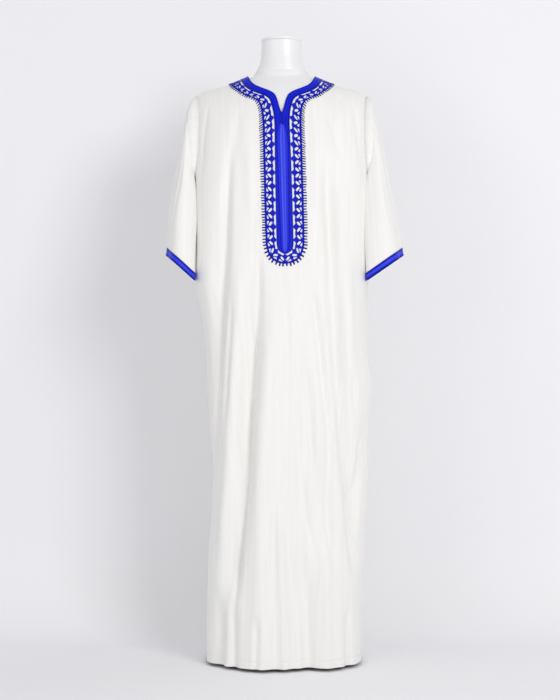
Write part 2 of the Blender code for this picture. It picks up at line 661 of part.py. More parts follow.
class BorderMesh:
    """Corners and faces of the embroidered border, gathered half repeat by half repeat."""

    def __init__(self):
        self.corners = []
        self.faces = []

    def corner(self, side, across, first, second=None):
        """A corner at a place along the border, or half way between two places."""
        self.corners.append((side, across, first, first if second is None else second))
        return len(self.corners) - 1

    def add_half_repeat(self, side, repeat, direction):
        """The cell from a star to a link, up or down the border."""
        star = repeat + 0.5
        numbers = {}
        for name, (across, along) in REPEAT_POINTS.items():
            numbers[name] = self.corner(side, across, star + direction * along)
        numbers["foot"] = self.corner(side, 0.0, star + direction * NOTCH_FOOT,
                                      star + direction * (1.0 - NOTCH_FOOT))
        step = 0.5 / PICOTS_PER_HALF_REPEAT
        line = [numbers["line_outer_start"]]
        tips = []
        for tooth in range(PICOTS_PER_HALF_REPEAT):
            tips.append(self.corner(side, 1.0 + PICOT_LENGTH, star + direction * (tooth + 0.5) * step))
            if tooth < PICOTS_PER_HALF_REPEAT - 1:
                line.append(self.corner(side, 1.0, star + direction * (tooth + 1) * step))
        line.append(numbers["line_outer_end"])
        cell = [tuple(numbers[name] for name in names) for names in REPEAT_FACES]
        for tooth in range(PICOTS_PER_HALF_REPEAT):
            cell.append((line[tooth], tips[tooth], line[tooth + 1]))
        for tooth in range(PICOTS_PER_HALF_REPEAT - 1):
            cell.append((numbers["line_inner_start"], line[tooth], line[tooth + 1]))
        cell.append((numbers["line_inner_start"], line[-2], numbers["line_inner_end"]))
        cell.append((line[-2], line[-1], numbers["line_inner_end"]))
        turned = side * direction > 0
        self.faces.extend(corners[::-1] if turned else corners for corners in cell)

    def points(self, rails):
        """Where the corners lie. A place past either end lies on the other half."""
        side, across, first, second = np.array(self.corners, float).T
        inset = across + (1 - across) * TRIM_GAP / BORDER_WIDTH
        places = []
        for repeats in (first, second):
            share = repeats / HALF_REPEATS
            past = (share > 1.0 + 1e-9) | (share < -1e-9)
            share = np.where(share > 1.0, 2.0 - share, np.abs(share))
            x, rise = rails.place("braid", "border", share, inset)
            x = np.where(x < 0.00001, 0.0, x)
            places.append(trim_points(np.where(past, -side, side), x, rise))
        return (places[0] + places[1]) / 2


def build_border(rails, look):
    """The openwork border with its outer line and picots, round the neck and the bib."""
    border = BorderMesh()
    for side in (-1, 1):
        for repeat in range(HALF_REPEATS):
            for direction in (-1, 1):
                border.add_half_repeat(side, repeat, direction)
    made = add_object("neck_border", border.points(rails), border.faces, look)
    mesh = bmesh.new()
    mesh.from_mesh(made.data)
    bmesh.ops.remove_doubles(mesh, verts=mesh.verts, dist=JOIN_DISTANCE)
    mesh.to_mesh(made.data)
    mesh.free()
    solidify = made.modifiers.new("wall", "SOLIDIFY")
    solidify.thickness = TRIM_WALL
    solidify.offset = 1.0
    return made


def yoke_reach(x, z, front):
    """How far the robe's inner face stands out at a height above the underarm."""
    depth = CHEST_FRONT_DEPTH if front else CHEST_BACK_DEPTH
    top = float(ridge_height(x)) - FORM_GAP
    part = min(max((z - UNDERARM_Z) / (top - UNDERARM_Z), 0.0), 1.0)
    across = min(abs(x) / SHOULDER_HALF_WIDTH, 1.0)
    return depth * (1 - across**SQUARENESS) ** (1 / SQUARENESS) * math.sqrt(1 - part * part)


def build_form(look):
    """The dress form's torso and neck, just inside the robe's shoulders."""
    points = []
    for z, width, front, back in FORM_RINGS:
        for place in range(FORM_SIDES):
            turn = 2 * math.pi * place / FORM_SIDES
            x = width * math.sin(turn)
            facing_front = math.cos(turn) >= 0
            reach = front if facing_front else back
            deep = reach * abs(math.cos(turn)) ** (2 / FORM_ROUNDNESS)
            if UNDERARM_Z < z < FORM_NECK_Z:
                deep = min(deep, max(yoke_reach(x, z, facing_front) - FORM_GAP, 0.0))
            points.append((x, -deep if facing_front else deep, z))
    faces = grid_faces(len(FORM_RINGS), FORM_SIDES, closed=True)
    faces.append(tuple(range(FORM_SIDES))[::-1])
    last = (len(FORM_RINGS) - 1) * FORM_SIDES
    faces.append(tuple(range(last, last + FORM_SIDES)))
    return add_object("form_torso", points, faces, look)


def build_disc(name, radius, height, bottom, look, middle_y=0.0, edge=0.0015, sides=48):
    """A round plate or pole with a bevelled rim."""
    mesh = bpy.data.meshes.new(name)
    made = bpy.data.objects.new(name, mesh)
    shape = bmesh.new()
    bmesh.ops.create_cone(shape, cap_ends=True, segments=sides, radius1=radius, radius2=radius, depth=height)
    shape.to_mesh(mesh)
    shape.free()
    mesh.materials.append(look)
    made.location = Vector((0.0, middle_y, bottom + height / 2))
    robe_collection.objects.link(made)
    if edge:
        bevel = made.modifiers.new("rim", "BEVEL")
        bevel.width = edge
        bevel.segments = 1
        bevel.limit_method = "ANGLE"
    return made


for old in list(bpy.data.objects):
    bpy.data.objects.remove(old, do_unlink=True)

robe_collection = bpy.data.collections.new("thobe robe on dress form")
bpy.context.scene.collection.children.link(robe_collection)

cloth = material("off white cotton", CLOTH_COLOUR, 0.75)
blue_braid = material("royal blue braid", BRAID_COLOUR, 0.42)
light_braid = material("light blue satin braid", PLACKET_COLOUR, 0.35)
form_plastic = material("white form plastic", FORM_COLOUR, 0.40)
steel = material("brushed steel", STEEL_COLOUR, 0.35, 1.0)

FRONT_GUIDES = ("left deep fold", "long left fold", "right long fold")
BACK_GUIDES = ("left blade fold", "long middle fold", "right back fold", "right side back fold")

front_grid = panel_grid(True, FRONT_COLUMNS, FRONT_FOLDS, FRONT_GUIDES, FRONT_NECKLINE)
back_grid = panel_grid(False, BACK_COLUMNS, BACK_FOLDS, BACK_GUIDES, BACK_NECKLINE)
front_size = front_grid.shape[:2]
back_size = back_grid.shape[:2]
add_object("robe_front", front_grid.reshape(-1, 3), grid_faces(*front_size), cloth, WALL)
add_object("robe_back", back_grid.reshape(-1, 3), grid_faces(*back_size, flip=True), cloth, WALL)

for side, side_name in ((-1, "left"), (1, "right")):
    armhole = armhole_loop(front_grid, back_grid, side)
    build_sleeve(f"sleeve_{side_name}", side, armhole, cloth)
    build_cuff(f"cuff_{side_name}", side, armhole, blue_braid)

trim_rails = Rails(TRIM_STATIONS)
build_neckband(trim_rails, blue_braid)
build_placket(trim_rails, light_braid)
build_border(trim_rails, blue_braid)

build_form(form_plastic)
build_disc("form_neck_cap", NECK_CAP["radius"], NECK_CAP["height"], NECK_CAP["bottom"],
           form_plastic, middle_y=NECK_CAP["middle_y"], sides=28)
pole_bottom = BASE_HEIGHT + POLE_GAP
pole_height = FORM_RINGS[0][0] - POLE_GAP - pole_bottom
build_disc("stand_pole", POLE_RADIUS, pole_height, pole_bottom, steel, edge=0.0, sides=20)
build_disc("stand_base", BASE_RADIUS, BASE_HEIGHT, 0.0, steel, sides=40)
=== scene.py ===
"""The looks of a thobe robe on a plain dress form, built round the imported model.

Sizes are in metres in the model's frame: +Z is up, the robe's front faces -Y and +X is on
the viewer's right. Left and right in names are the viewer's.
"""
import math

import bmesh
import bpy
import numpy as np
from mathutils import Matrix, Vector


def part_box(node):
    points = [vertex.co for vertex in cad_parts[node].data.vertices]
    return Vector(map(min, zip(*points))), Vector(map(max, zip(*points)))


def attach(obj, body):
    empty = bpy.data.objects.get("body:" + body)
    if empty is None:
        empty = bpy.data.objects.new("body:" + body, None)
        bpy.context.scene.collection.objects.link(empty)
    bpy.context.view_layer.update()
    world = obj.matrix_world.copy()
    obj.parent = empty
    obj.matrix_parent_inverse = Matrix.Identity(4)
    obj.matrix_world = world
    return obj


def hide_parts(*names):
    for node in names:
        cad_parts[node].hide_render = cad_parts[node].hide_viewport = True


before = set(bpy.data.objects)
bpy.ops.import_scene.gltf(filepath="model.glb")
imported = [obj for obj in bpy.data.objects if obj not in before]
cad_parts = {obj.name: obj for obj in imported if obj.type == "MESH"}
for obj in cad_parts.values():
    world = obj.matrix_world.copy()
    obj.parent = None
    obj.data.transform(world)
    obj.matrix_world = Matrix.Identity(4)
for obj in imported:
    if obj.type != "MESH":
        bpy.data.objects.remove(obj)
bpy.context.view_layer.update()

# Camera. A long lens at the height of the robe's middle looks level at its front, and the
# photograph is 1.4 m wide where the robe hangs.
CAMERA_DISTANCE = 4.2
CAMERA_HEIGHT = 0.7745
CAMERA_SHIFT_LEFT = 0.0038
VIEW_WIDTH = 1.4

camera_data = bpy.data.cameras.new("camera")
camera_data.sensor_fit = "HORIZONTAL"
camera_data.angle = 2 * math.atan(VIEW_WIDTH / 2 / CAMERA_DISTANCE)
camera = bpy.data.objects.new("camera", camera_data)
camera.location = (-CAMERA_SHIFT_LEFT, -CAMERA_DISTANCE, CAMERA_HEIGHT)
camera.rotation_euler = (math.pi / 2, 0.0, 0.0)
bpy.context.scene.collection.objects.link(camera)
bpy.context.scene.camera = camera


# Backdrop. One sheet of matt paper runs over the floor and up behind the robe in a wide
# bend, so that no line shows where they meet.
BACKDROP_WALL_Y = 0.46
BACKDROP_BEND = 0.26
BACKDROP_FRONT_Y = -5.0
BACKDROP_HEIGHT = 3.2
BACKDROP_HALF_WIDTH = 3.5
BACKDROP_BEND_STEPS = 24


def linear(hex_colour):
    """An sRGB hex colour as linear red, green, blue and alpha."""
    parts = [int(hex_colour[place:place + 2], 16) / 255 for place in (1, 3, 5)]
    return tuple(part / 12.92 if part <= 0.04045 else ((part + 0.055) / 1.055) ** 2.4 for part in parts) + (1.0,)


def new_material(name, settings):
    """A material with its node tree and a Principled shader with constant settings."""
    made = bpy.data.materials.new(name)
    made.use_nodes = True
    shader = made.node_tree.nodes["Principled BSDF"]
    for socket, value in settings.items():
        shader.inputs[socket].default_value = value
    return made, made.node_tree, shader


def add_node(tree, kind, output, inputs=(), **settings):
    """Add a node, link or set its inputs by name or number, and give one of its outputs."""
    made = tree.nodes.new(kind)
    for name, value in settings.items():
        setattr(made, name, value)
    for name, value in dict(inputs).items():
        if isinstance(value, bpy.types.NodeSocket):
            tree.links.new(value, made.inputs[name])
        else:
            made.inputs[name].default_value = value
    return made.outputs[output]


def add_noise(tree, place, scale, detail=2.0):
    """Noise over a place."""
    return add_node(tree, "ShaderNodeTexNoise", "Fac", {"Vector": place, "Scale": scale, "Detail": detail})


def add_ramp(tree, amount, stops):
    """A colour that an amount picks between stops, each a place and a hex colour."""
    made = add_node(tree, "ShaderNodeValToRGB", "Color", {"Fac": amount})
    elements = made.node.color_ramp.elements
    while len(elements) < len(stops):
        elements.new(0.5)
    for element, (place, colour) in zip(elements, stops):
        element.position = place
        element.color = linear(colour)
    return made


def dress_shader(tree, shader, colour, height=None, strength=0.0, distance=0.0):
    """Link a shader's colour, and a bump from a height where there is one."""
    tree.links.new(colour, shader.inputs["Base Color"])
    if height is not None:
        bump = add_node(tree, "ShaderNodeBump", "Normal",
                        {"Height": height, "Strength": strength, "Distance": distance})
        tree.links.new(bump, shader.inputs["Normal"])


def only(kind, parts):
    """The parts of one kind."""
    return [part for part in parts if isinstance(part, kind)]


def finish_piece(name, mesh, look, slot, replaced=(), rounded=True):
    """Turn a bmesh into a piece of the scene, riding on the root body when it is given a slot."""
    data = bpy.data.meshes.new(name)
    mesh.to_mesh(data)
    mesh.free()
    data.materials.append(look)
    if rounded:
        data.shade_smooth()
    piece = bpy.data.objects.new(name, data)
    bpy.context.scene.collection.objects.link(piece)
    if slot:
        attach(piece, "root")
    if replaced:
        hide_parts(*replaced)
    return piece


# Matt seamless paper: its fibres are too fine to show, and only leave it a little uneven.
paper, tree, shader = new_material("matt_backdrop_paper", {"Roughness": 0.95, "Specular IOR Level": 0.2})
place = add_node(tree, "ShaderNodeTexCoord", "Object")
dress_shader(tree, shader, add_ramp(tree, add_noise(tree, place, 1.3), ((0.3, "#f5f5f7"), (0.7, "#f8f8fa"))))
# The paper shows from its front only, so that the robe can be looked at from behind it.
either = add_node(tree, "ShaderNodeMixShader", "Shader", {
    0: add_node(tree, "ShaderNodeNewGeometry", "Backfacing"), 1: shader.outputs["BSDF"],
    2: add_node(tree, "ShaderNodeBsdfTransparent", "BSDF"),
})
tree.links.new(either, tree.nodes["Material Output"].inputs["Surface"])

mesh = bmesh.new()
profile = [(BACKDROP_FRONT_Y, 0.0), (BACKDROP_WALL_Y - BACKDROP_BEND, 0.0)]
for step in range(1, BACKDROP_BEND_STEPS + 1):
    turn = math.pi / 2 * step / BACKDROP_BEND_STEPS
    profile.append((BACKDROP_WALL_Y - BACKDROP_BEND * (1 - math.sin(turn)), BACKDROP_BEND * (1 - math.cos(turn))))
profile.append((BACKDROP_WALL_Y, BACKDROP_HEIGHT))
corners = [mesh.verts.new((-BACKDROP_HALF_WIDTH, y, z)) for y, z in profile]
edges = [mesh.edges.new(pair) for pair in zip(corners, corners[1:])]
swept = bmesh.ops.extrude_edge_only(mesh, edges=edges)["geom"]
bmesh.ops.translate(mesh, verts=only(bmesh.types.BMVert, swept), vec=(2 * BACKDROP_HALF_WIDTH, 0.0, 0.0))
backdrop = finish_piece("backdrop", mesh, paper, None)


# Light. A soft box stands high on the right in front, models the folds and throws the
# robe's shadow to its left; a weak one on the left and the pale room light the rest.
KEY_LIGHT = {"place": (1.9, -3.5, 2.2), "aim": (0.0, 0.0, 1.00), "size": 1.4, "power": 55.0}
LEFT_LIGHT = {"place": (-2.2, -3.2, 1.4), "aim": (0.0, 0.0, 1.00), "size": 1.7, "power": 17.0}
ROOM_COLOUR = "#f8f8fa"
ROOM_STRENGTH = 0.60


def add_soft_box(name, place, aim, size, power):
    """A square area light that points at a place."""
    data = bpy.data.lights.new(name, "AREA")
    data.size = size
    data.energy = power
    lamp = bpy.data.objects.new(name, data)
    lamp.location = place
    away = [start - end for start, end in zip(place, aim)]
    flat = math.hypot(away[0], away[1])
    lamp.rotation_euler = (math.atan2(flat, away[2]), 0.0, math.atan2(away[0], -away[1]))
    bpy.context.scene.collection.objects.link(lamp)


add_soft_box("key light", **KEY_LIGHT)
add_soft_box("left light", **LEFT_LIGHT)
room = bpy.data.worlds.new("pale room")
room.use_nodes = True
room.node_tree.nodes["Background"].inputs["Color"].default_value = linear(ROOM_COLOUR)
room.node_tree.nodes["Background"].inputs["Strength"].default_value = ROOM_STRENGTH
bpy.context.scene.world = room
bpy.context.scene.view_settings.view_transform = "Standard"


# Robe body. Front and back are cut from off-white cotton satin, sewn at the sides and
# shoulders, and hang from the form's shoulders in long soft folds down to the hem.
WALL = 0.0013
SEAM_GAP = 0.0005
HEM_Z = 0.0085
UNDERARM_Z = 1.137
RIDGE_RISE = UNDERARM_Z + 1.0
SQUARENESS = 3.0
SHOULDER_HALF_WIDTH = 0.2155
CHEST_FRONT_DEPTH = 0.135
CHEST_BACK_DEPTH = 0.125
ARMHOLE_CURVE = 0.17
ARMHOLE_CURVE_START = 0.55
PANEL_COLUMNS = 201
SKIRT_ROWS = 126
YOKE_ROWS = 52
HEM_DEPTH = 0.018
HEM_STEP = 0.0005
SECTION_POINTS = 500
STITCH_GROOVE = 0.0003
STITCH_GROOVE_WIDTH = 0.0008
SLIT_FOOT_CLIMB = 0.42
# Rows of the turned-up hem as shares of its depth, closest along its line of stitches.
HEM_ROWS = (0.0, 0.05, 0.35, 0.7, 0.90, 0.96, 1.0, 1.04, 1.10, 1.3)
SKIRT_START = 0.045
YOKE_FLAT_HEIGHT = 0.4
WELD = 0.00002

# Height, half-widths on the left and right, and how far the front and back stand out.
BODY_SECTIONS = (
    (0.000, 0.184, 0.196, 0.166, 0.160),
    (0.100, 0.184, 0.196, 0.165, 0.158),
    (0.200, 0.182, 0.199, 0.162, 0.153),
    (0.300, 0.178, 0.204, 0.159, 0.148),
    (0.367, 0.173, 0.211, 0.157, 0.145),
    (0.410, 0.170, 0.212, 0.156, 0.143),
    (0.500, 0.169, 0.214, 0.154, 0.140),
    (0.574, 0.176, 0.216, 0.152, 0.138),
    (0.625, 0.179, 0.219, 0.151, 0.137),
    (0.700, 0.183, 0.223, 0.149, 0.135),
    (0.775, 0.186, 0.214, 0.148, 0.133),
    (0.837, 0.193, 0.214, 0.146, 0.131),
    (0.887, 0.203, 0.214, 0.145, 0.130),
    (0.940, 0.2145, 0.2145, 0.143, 0.129),
    (1.040, 0.2155, 0.2155, 0.139, 0.127),
    (UNDERARM_Z, SHOULDER_HALF_WIDTH, SHOULDER_HALF_WIDTH, CHEST_FRONT_DEPTH, CHEST_BACK_DEPTH),
)
# Distance from the middle and height of the shoulder line and of the cut of the neck.
SHOULDER_LINE = (
    (0.000, 1.4765), (0.050, 1.4685), (0.082, 1.4550), (0.131, 1.4350), (0.191, 1.4180),
    (SHOULDER_HALF_WIDTH, 1.4055),
)
FRONT_NECKLINE = (
    (0.0000, 1.354), (0.0060, 1.370), (0.0110, 1.389), (0.0170, 1.4015), (0.0250, 1.409),
    (0.0370, 1.4135), (0.0490, 1.419), (0.0610, 1.425), (0.0720, 1.434), (0.0790, 1.447),
    (0.0810, 1.452),
)
BACK_NECKLINE = (
    (0.0000, 1.4257), (0.0250, 1.4273), (0.0500, 1.4320), (0.0680, 1.4400), (0.0770, 1.4465),
    (0.0810, 1.4520),
)
NECK_POINT = 0.082

# Each fold in millimetres: name, depth (a ridge is above zero), half-width, how far it
# fades at the top and bottom, and its route as heights and distances from the middle.
FRONT_FOLDS = (
    ("left deep fold", -16, 12, 260, 120,
     ((1340, -116), (1137, -134), (990, -138), (900, -143), (650, -155), (470, -163))),
    ("slope into the left deep fold", -10, 20, 240, 200, ((1200, -146), (990, -155), (780, -160), (600, -165))),
    ("left lit ridge", 11, 24, 160, 150, ((1060, -98), (620, -118), (240, -146))),
    ("long left fold", -20, 12, 120, 140,
     ((1035, -57), (825, -59), (700, -66), (600, -73), (525, -77), (450, -83), (400, -88), (250, -105), (120, -118))),
    ("slope into the long left fold", -20, 26, 200, 140,
     ((900, -72), (700, -83), (525, -96), (400, -107), (250, -124), (120, -136))),
    ("middle ridge", 16, 30, 200, 0, ((960, -12), (500, -45), (0, -52))),
    ("right long fold", -20, 16, 160, 120,
     ((1270, 106), (1137, 115), (823, 132), (581, 149), (400, 166), (198, 183))),
    ("right ridge", 9, 20, 200, 100, ((1050, 150), (760, 163), (560, 175))),
    ("right thin fold", -10, 11, 80, 120, ((940, 75), (702, 100), (561, 115), (358, 112), (230, 130))),
    ("middle thin fold", -8, 11, 80, 100, ((760, 60), (581, 69), (460, 78))),
    ("right hip fold", -10, 11, 70, 80, ((740, 170), (580, 177))),
    ("right side fold", -14, 16, 90, 80, ((620, 204), (508, 195), (419, 180), (340, 170))),
    ("right hem fold", -20, 23, 160, 0, ((310, 56), (0, 66))),
    ("narrow hem ridge", 9, 12, 150, 0, ((470, -10), (0, 6))),
    ("left hem fold", -16, 16, 90, 0, ((190, -118), (0, -118))),
    ("left corner fold", -20, 26, 120, 0, ((210, -150), (0, -158))),
    ("thin left hem fold", -8, 10, 60, 0, ((150, -57), (0, -60))),
    ("far right hem fold", -10, 12, 60, 0, ((170, 160), (0, 163))),
    ("right collar crease", -4, 6, 20, 30, ((1408, 142), (1385, 147), (1352, 151))),
    ("right shoulder drag", -3, 9, 50, 100, ((1392, 175), (1300, 188), (1180, 196))),
    ("right chest pull", -4, 10, 60, 100, ((1385, 100), (1300, 130), (1180, 160))),
    ("right chest ridge", 4, 14, 80, 120, ((1330, 82), (1200, 86), (1060, 92))),
    ("left chest pull", -3, 12, 60, 100, ((1380, -98), (1300, -110), (1200, -105))),
    ("left chest ridge", 4, 12, 80, 100, ((1300, -80), (1180, -78), (1060, -76))),
    ("left shoulder drag", -3, 8, 50, 100, ((1398, -178), (1300, -190), (1170, -196))),
    ("bib foot ridge", 4, 13, 70, 120, ((955, 28), (840, 30), (700, 36))),
    ("left thin crease", -5, 8, 100, 120, ((930, -115), (780, -124), (560, -136))),
    ("left knee crease", -4, 8, 100, 120, ((560, -62), (380, -74), (240, -86))),
    ("middle hem crease", -5, 9, 120, 0, ((330, 18), (160, 26), (0, 30))),
    ("right knee crease", -5, 9, 100, 100, ((520, 48), (400, 56), (250, 85))),
    ("right hem ridge", 6, 14, 140, 0, ((360, 104), (0, 112))),
)
BACK_FOLDS = (
    ("left blade fold", -14, 18, 200, 150, ((1240, -120), (900, -135), (500, -140))),
    ("long middle fold", -24, 20, 180, 0, ((1100, -45), (640, -60), (0, -85))),
    ("middle back ridge", 15, 28, 200, 0, ((1020, 0), (500, -15), (0, -30))),
    ("right back fold", -23, 20, 180, 0, ((1120, 62), (600, 70), (0, 50))),
    ("right back ridge", 12, 24, 200, 0, ((900, 105), (400, 110), (0, 105))),
    ("right side back fold", -16, 18, 150, 100, ((1060, 135), (600, 155), (180, 160))),
    ("left back ridge", 11, 24, 180, 0, ((800, -105), (0, -128))),
    ("left hem back fold", -18, 18, 140, 0, ((460, -155), (0, -160))),
    ("right hem back fold", -14, 16, 120, 0, ((340, 142), (0, 150))),
    ("neck drag on the left", -4, 10, 50, 100, ((1390, -90), (1290, -70), (1170, -50))),
    ("neck drag on the right", -4, 10, 50, 100, ((1385, 96), (1280, 78), (1150, 62))),
    ("right blade fold", -4, 12, 80, 150, ((1350, 165), (1200, 172), (1020, 178))),
    ("thin seat crease", -5, 10, 120, 150, ((960, 24), (760, 18), (480, 22))),
    ("thin left crease", -5, 10, 120, 150, ((820, -88), (600, -94), (360, -100))),
    ("middle hem crease", -5, 10, 120, 0, ((300, 8), (0, 4))),
)
MM_PER_METRE = 1000
LEAST_FADE = 0.0001


def smooth(at, stops, values):
    """Smooth curve through a table's rows, held at its first and last row."""
    stops = np.asarray(stops, float)
    values = np.asarray(values, float)
    slopes = np.gradient(values, stops)
    row = np.clip(np.searchsorted(stops, at) - 1, 0, len(stops) - 2)
    step = stops[row + 1] - stops[row]
    t = np.clip((at - stops[row]) / step, 0.0, 1.0)
    start = (2 * t**3 - 3 * t**2 + 1) * values[row] + (t**3 - 2 * t**2 + t) * step * slopes[row]
    end = (3 * t**2 - 2 * t**3) * values[row + 1] + (t**3 - t**2) * step * slopes[row + 1]
    return start + end


def column(table, number):
    """One column of a table."""
    return np.array([row[number] for row in table], float)


def curve(table, number, at):
    """A table's column as a smooth curve over its first column."""
    return smooth(at, column(table, 0), column(table, number))


def ease(part):
    """Smooth step from 0 to 1."""
    part = np.clip(part, 0.0, 1.0)
    return part * part * (3 - 2 * part)


def unit(vectors):
    """Vectors made one long."""
    return vectors / np.linalg.norm(vectors, axis=-1)[..., None]


def running_total(steps):
    """Running total of steps, from zero."""
    return np.concatenate(([0.0], np.cumsum(steps)))


def reach_along(points):
    """How far along a line each of its points lies."""
    return running_total(np.linalg.norm(np.diff(points, axis=0), axis=1))


def unit_section():
    """A quarter of the robe's section: shares of its girth, width and depth, and its girth."""
    turn = np.linspace(0.0, math.pi / 2, SECTION_POINTS)
    across = np.sin(turn) ** (2 / SQUARENESS)
    out = np.cos(turn) ** (2 / SQUARENESS)
    girth = running_total(np.hypot(np.diff(across) * SHOULDER_HALF_WIDTH, np.diff(out) * CHEST_FRONT_DEPTH))
    return girth / girth[-1], across, out, girth[-1]


GIRTH_SHARE, ACROSS, OUT, QUARTER_GIRTH = unit_section()


def ridge_height(x):
    """Height of the shoulder line at a distance from the middle."""
    return curve(SHOULDER_LINE, 1, np.abs(x))


def half_width(share, z):
    """Half-width of the robe on the side that a girth share lies on."""
    return np.where(np.asarray(share) < 0, curve(BODY_SECTIONS, 1, z), curve(BODY_SECTIONS, 2, z))


def share_at(x, z):
    """Girth share, -1 to 1 between the side seams, of a distance from the middle."""
    part = np.clip(np.abs(x) / half_width(x, z), 0.0, 1.0)
    return np.sign(x) * np.interp(part, ACROSS, GIRTH_SHARE)


def fold_offset(folds, share, z):
    """How far the folds move the cloth out at a girth share and a height."""
    total = np.zeros(np.broadcast(share, z).shape)
    for name, *sizes, route in folds:
        depth, width, fade_top, fade_bottom = np.array(sizes) / MM_PER_METRE
        heights, places = (np.array(route) / MM_PER_METRE)[::-1].T
        away = (share - share_at(smooth(z, heights, places), z)) * QUARTER_GIRTH / width
        top = ease((heights[-1] - z) / max(fade_top, LEAST_FADE))
        bottom = ease((z - heights[0]) / max(fade_bottom, LEAST_FADE))
        total = total + depth * top * bottom * np.exp(-away * away)
    return total


def robe_points(front, share, rise, lift=0.0):
    """Points of the robe's inner face, or moved out from it by lift.

    share runs from -1 to 1 between the side seams. rise is a height below the underarm,
    and above it goes from UNDERARM_Z to RIDGE_RISE at the shoulder line.
    """
    share, rise = np.broadcast_arrays(np.asarray(share, float), np.asarray(rise, float))
    z = np.minimum(rise, UNDERARM_Z)
    turn = np.clip(rise - UNDERARM_Z, 0.0, 1.0) * math.pi / 2
    depth = curve(BODY_SECTIONS, 3 if front else 4, z)
    width = half_width(share, z)
    across = np.interp(np.abs(share), GIRTH_SHARE, ACROSS)
    out = np.interp(np.abs(share), GIRTH_SHARE, OUT)
    side = np.where(share < 0, -1.0, 1.0)
    facing = -1.0 if front else 1.0
    height = z + (ridge_height(width * across) - UNDERARM_Z) * np.sin(turn)
    push_x = side * across ** (SQUARENESS - 1) / width
    push_y = facing * out ** (SQUARENESS - 1) / depth
    length = np.hypot(push_x, push_y)
    offset = fold_offset(FRONT_FOLDS if front else BACK_FOLDS, share, height) + lift
    x = side * width * across + push_x / length * offset
    y = facing * depth * out * np.cos(turn) + push_y / length * offset
    y = np.minimum(y, -SEAM_GAP / 2) if front else np.maximum(y, SEAM_GAP / 2)
    return np.stack((x, y, height), axis=-1)


def rise_at(x, z):
    """The rise that puts a point of the robe at a height."""
    x, z = np.broadcast_arrays(np.asarray(x, float), np.asarray(z, float))
    part = np.clip((z - UNDERARM_Z) / (ridge_height(x) - UNDERARM_Z), 0.0, 1.0)
    return np.where(z <= UNDERARM_Z, z, UNDERARM_Z + np.arcsin(part) * 2 / math.pi)


def panel_shares_and_rises(neckline):
    """Girth shares and rises of a panel's rows, from the hem to the neck and shoulders."""
    low = np.linspace(-1.0, 1.0, PANEL_COLUMNS)
    places = low * SHOULDER_HALF_WIDTH
    top_shares = share_at(places, UNDERARM_Z)
    on_neck = np.abs(places) < NECK_POINT
    neck_z = np.interp(np.abs(places), column(neckline, 0), column(neckline, 1))
    top_climb = np.where(on_neck, rise_at(places, neck_z), RIDGE_RISE) - UNDERARM_Z
    hem_heights = HEM_Z + HEM_DEPTH * np.array(HEM_ROWS)
    heights = np.concatenate((hem_heights, np.linspace(SKIRT_START, UNDERARM_Z, SKIRT_ROWS)))
    shares = [low] * len(heights)
    rises = [np.full(PANEL_COLUMNS, z) for z in heights]
    outer_part = np.clip((np.abs(low) - ARMHOLE_CURVE_START) / (1.0 - ARMHOLE_CURVE_START), 0.0, 1.0) ** 2
    for step in np.linspace(0.0, 1.0, YOKE_ROWS + 1)[1:]:
        if step <= 0.5:
            climb = np.full(PANEL_COLUMNS, SLIT_FOOT_CLIMB * step * 2)
        else:
            climb = SLIT_FOOT_CLIMB + (step * 2 - 1) * (top_climb - SLIT_FOOT_CLIMB)
        progress = climb[0]
        narrowing = ARMHOLE_CURVE * math.sqrt(max(math.sin(math.pi * progress), 0.0))
        shares.append((low + (top_shares - low) * ease(progress)) * (1.0 - narrowing * outer_part))
        rises.append(UNDERARM_Z + climb)
    return np.array(shares), np.array(rises)


def hem_lift(rise):
    """The turned-up hem stands out a little, with a groove where its stitches pull in."""
    above = rise - HEM_Z - HEM_DEPTH
    stitches = -STITCH_GROOVE * np.exp(-((above / STITCH_GROOVE_WIDTH) ** 2))
    return np.where(above < 0, HEM_STEP, 0.0) + stitches


def shaped_grid(points, flat, closed=False):
    """A grid of quads moved to rows of points, with the flat cloth as its UV map."""
    rows, columns = points.shape[:2]
    mesh = bmesh.new()
    bmesh.ops.create_grid(mesh, x_segments=columns - 1, y_segments=rows - 1, size=1.0)
    mesh.verts.ensure_lookup_table()
    order = np.lexsort(([round(v.co.x, 6) for v in mesh.verts], [round(v.co.y, 6) for v in mesh.verts]))
    layer = mesh.loops.layers.uv.new("cloth")
    places = {}
    for number, (point, spot) in zip(order, zip(points.reshape(-1, 3), flat.reshape(-1, 2))):
        mesh.verts[number].co = point
        places[int(number)] = spot
    for face in mesh.faces:
        for loop in face.loops:
            loop[layer].uv = places[loop.vert.index]
    if closed:
        bmesh.ops.remove_doubles(mesh, verts=mesh.verts, dist=WELD)
    return mesh


def paired(first, second):
    """The flat places that two sets of numbers make."""
    return np.stack(np.broadcast_arrays(first, second), axis=-1)


def close_ends(mesh):
    """Fill a tube's two ends."""
    bmesh.ops.holes_fill(mesh, edges=[edge for edge in mesh.edges if edge.is_boundary], sides=0)
    bmesh.ops.recalc_face_normals(mesh, faces=mesh.faces)


def add_wall(piece, thickness):
    """The cloth's own thickness, put on its outer side."""
    wall = piece.modifiers.new("wall", "SOLIDIFY")
    wall.thickness = thickness
    wall.offset = 1.0


def sew_cloth(name, points, flat, look, slot, node, wall, flipped=False, closed=False):
    """A grid of cloth as a piece with its thickness, right side out."""
    mesh = shaped_grid(points, flat, closed)
    if flipped:
        bmesh.ops.reverse_faces(mesh, faces=mesh.faces)
    piece = finish_piece(name, mesh, look, slot, [node])
    add_wall(piece, wall)
    return piece


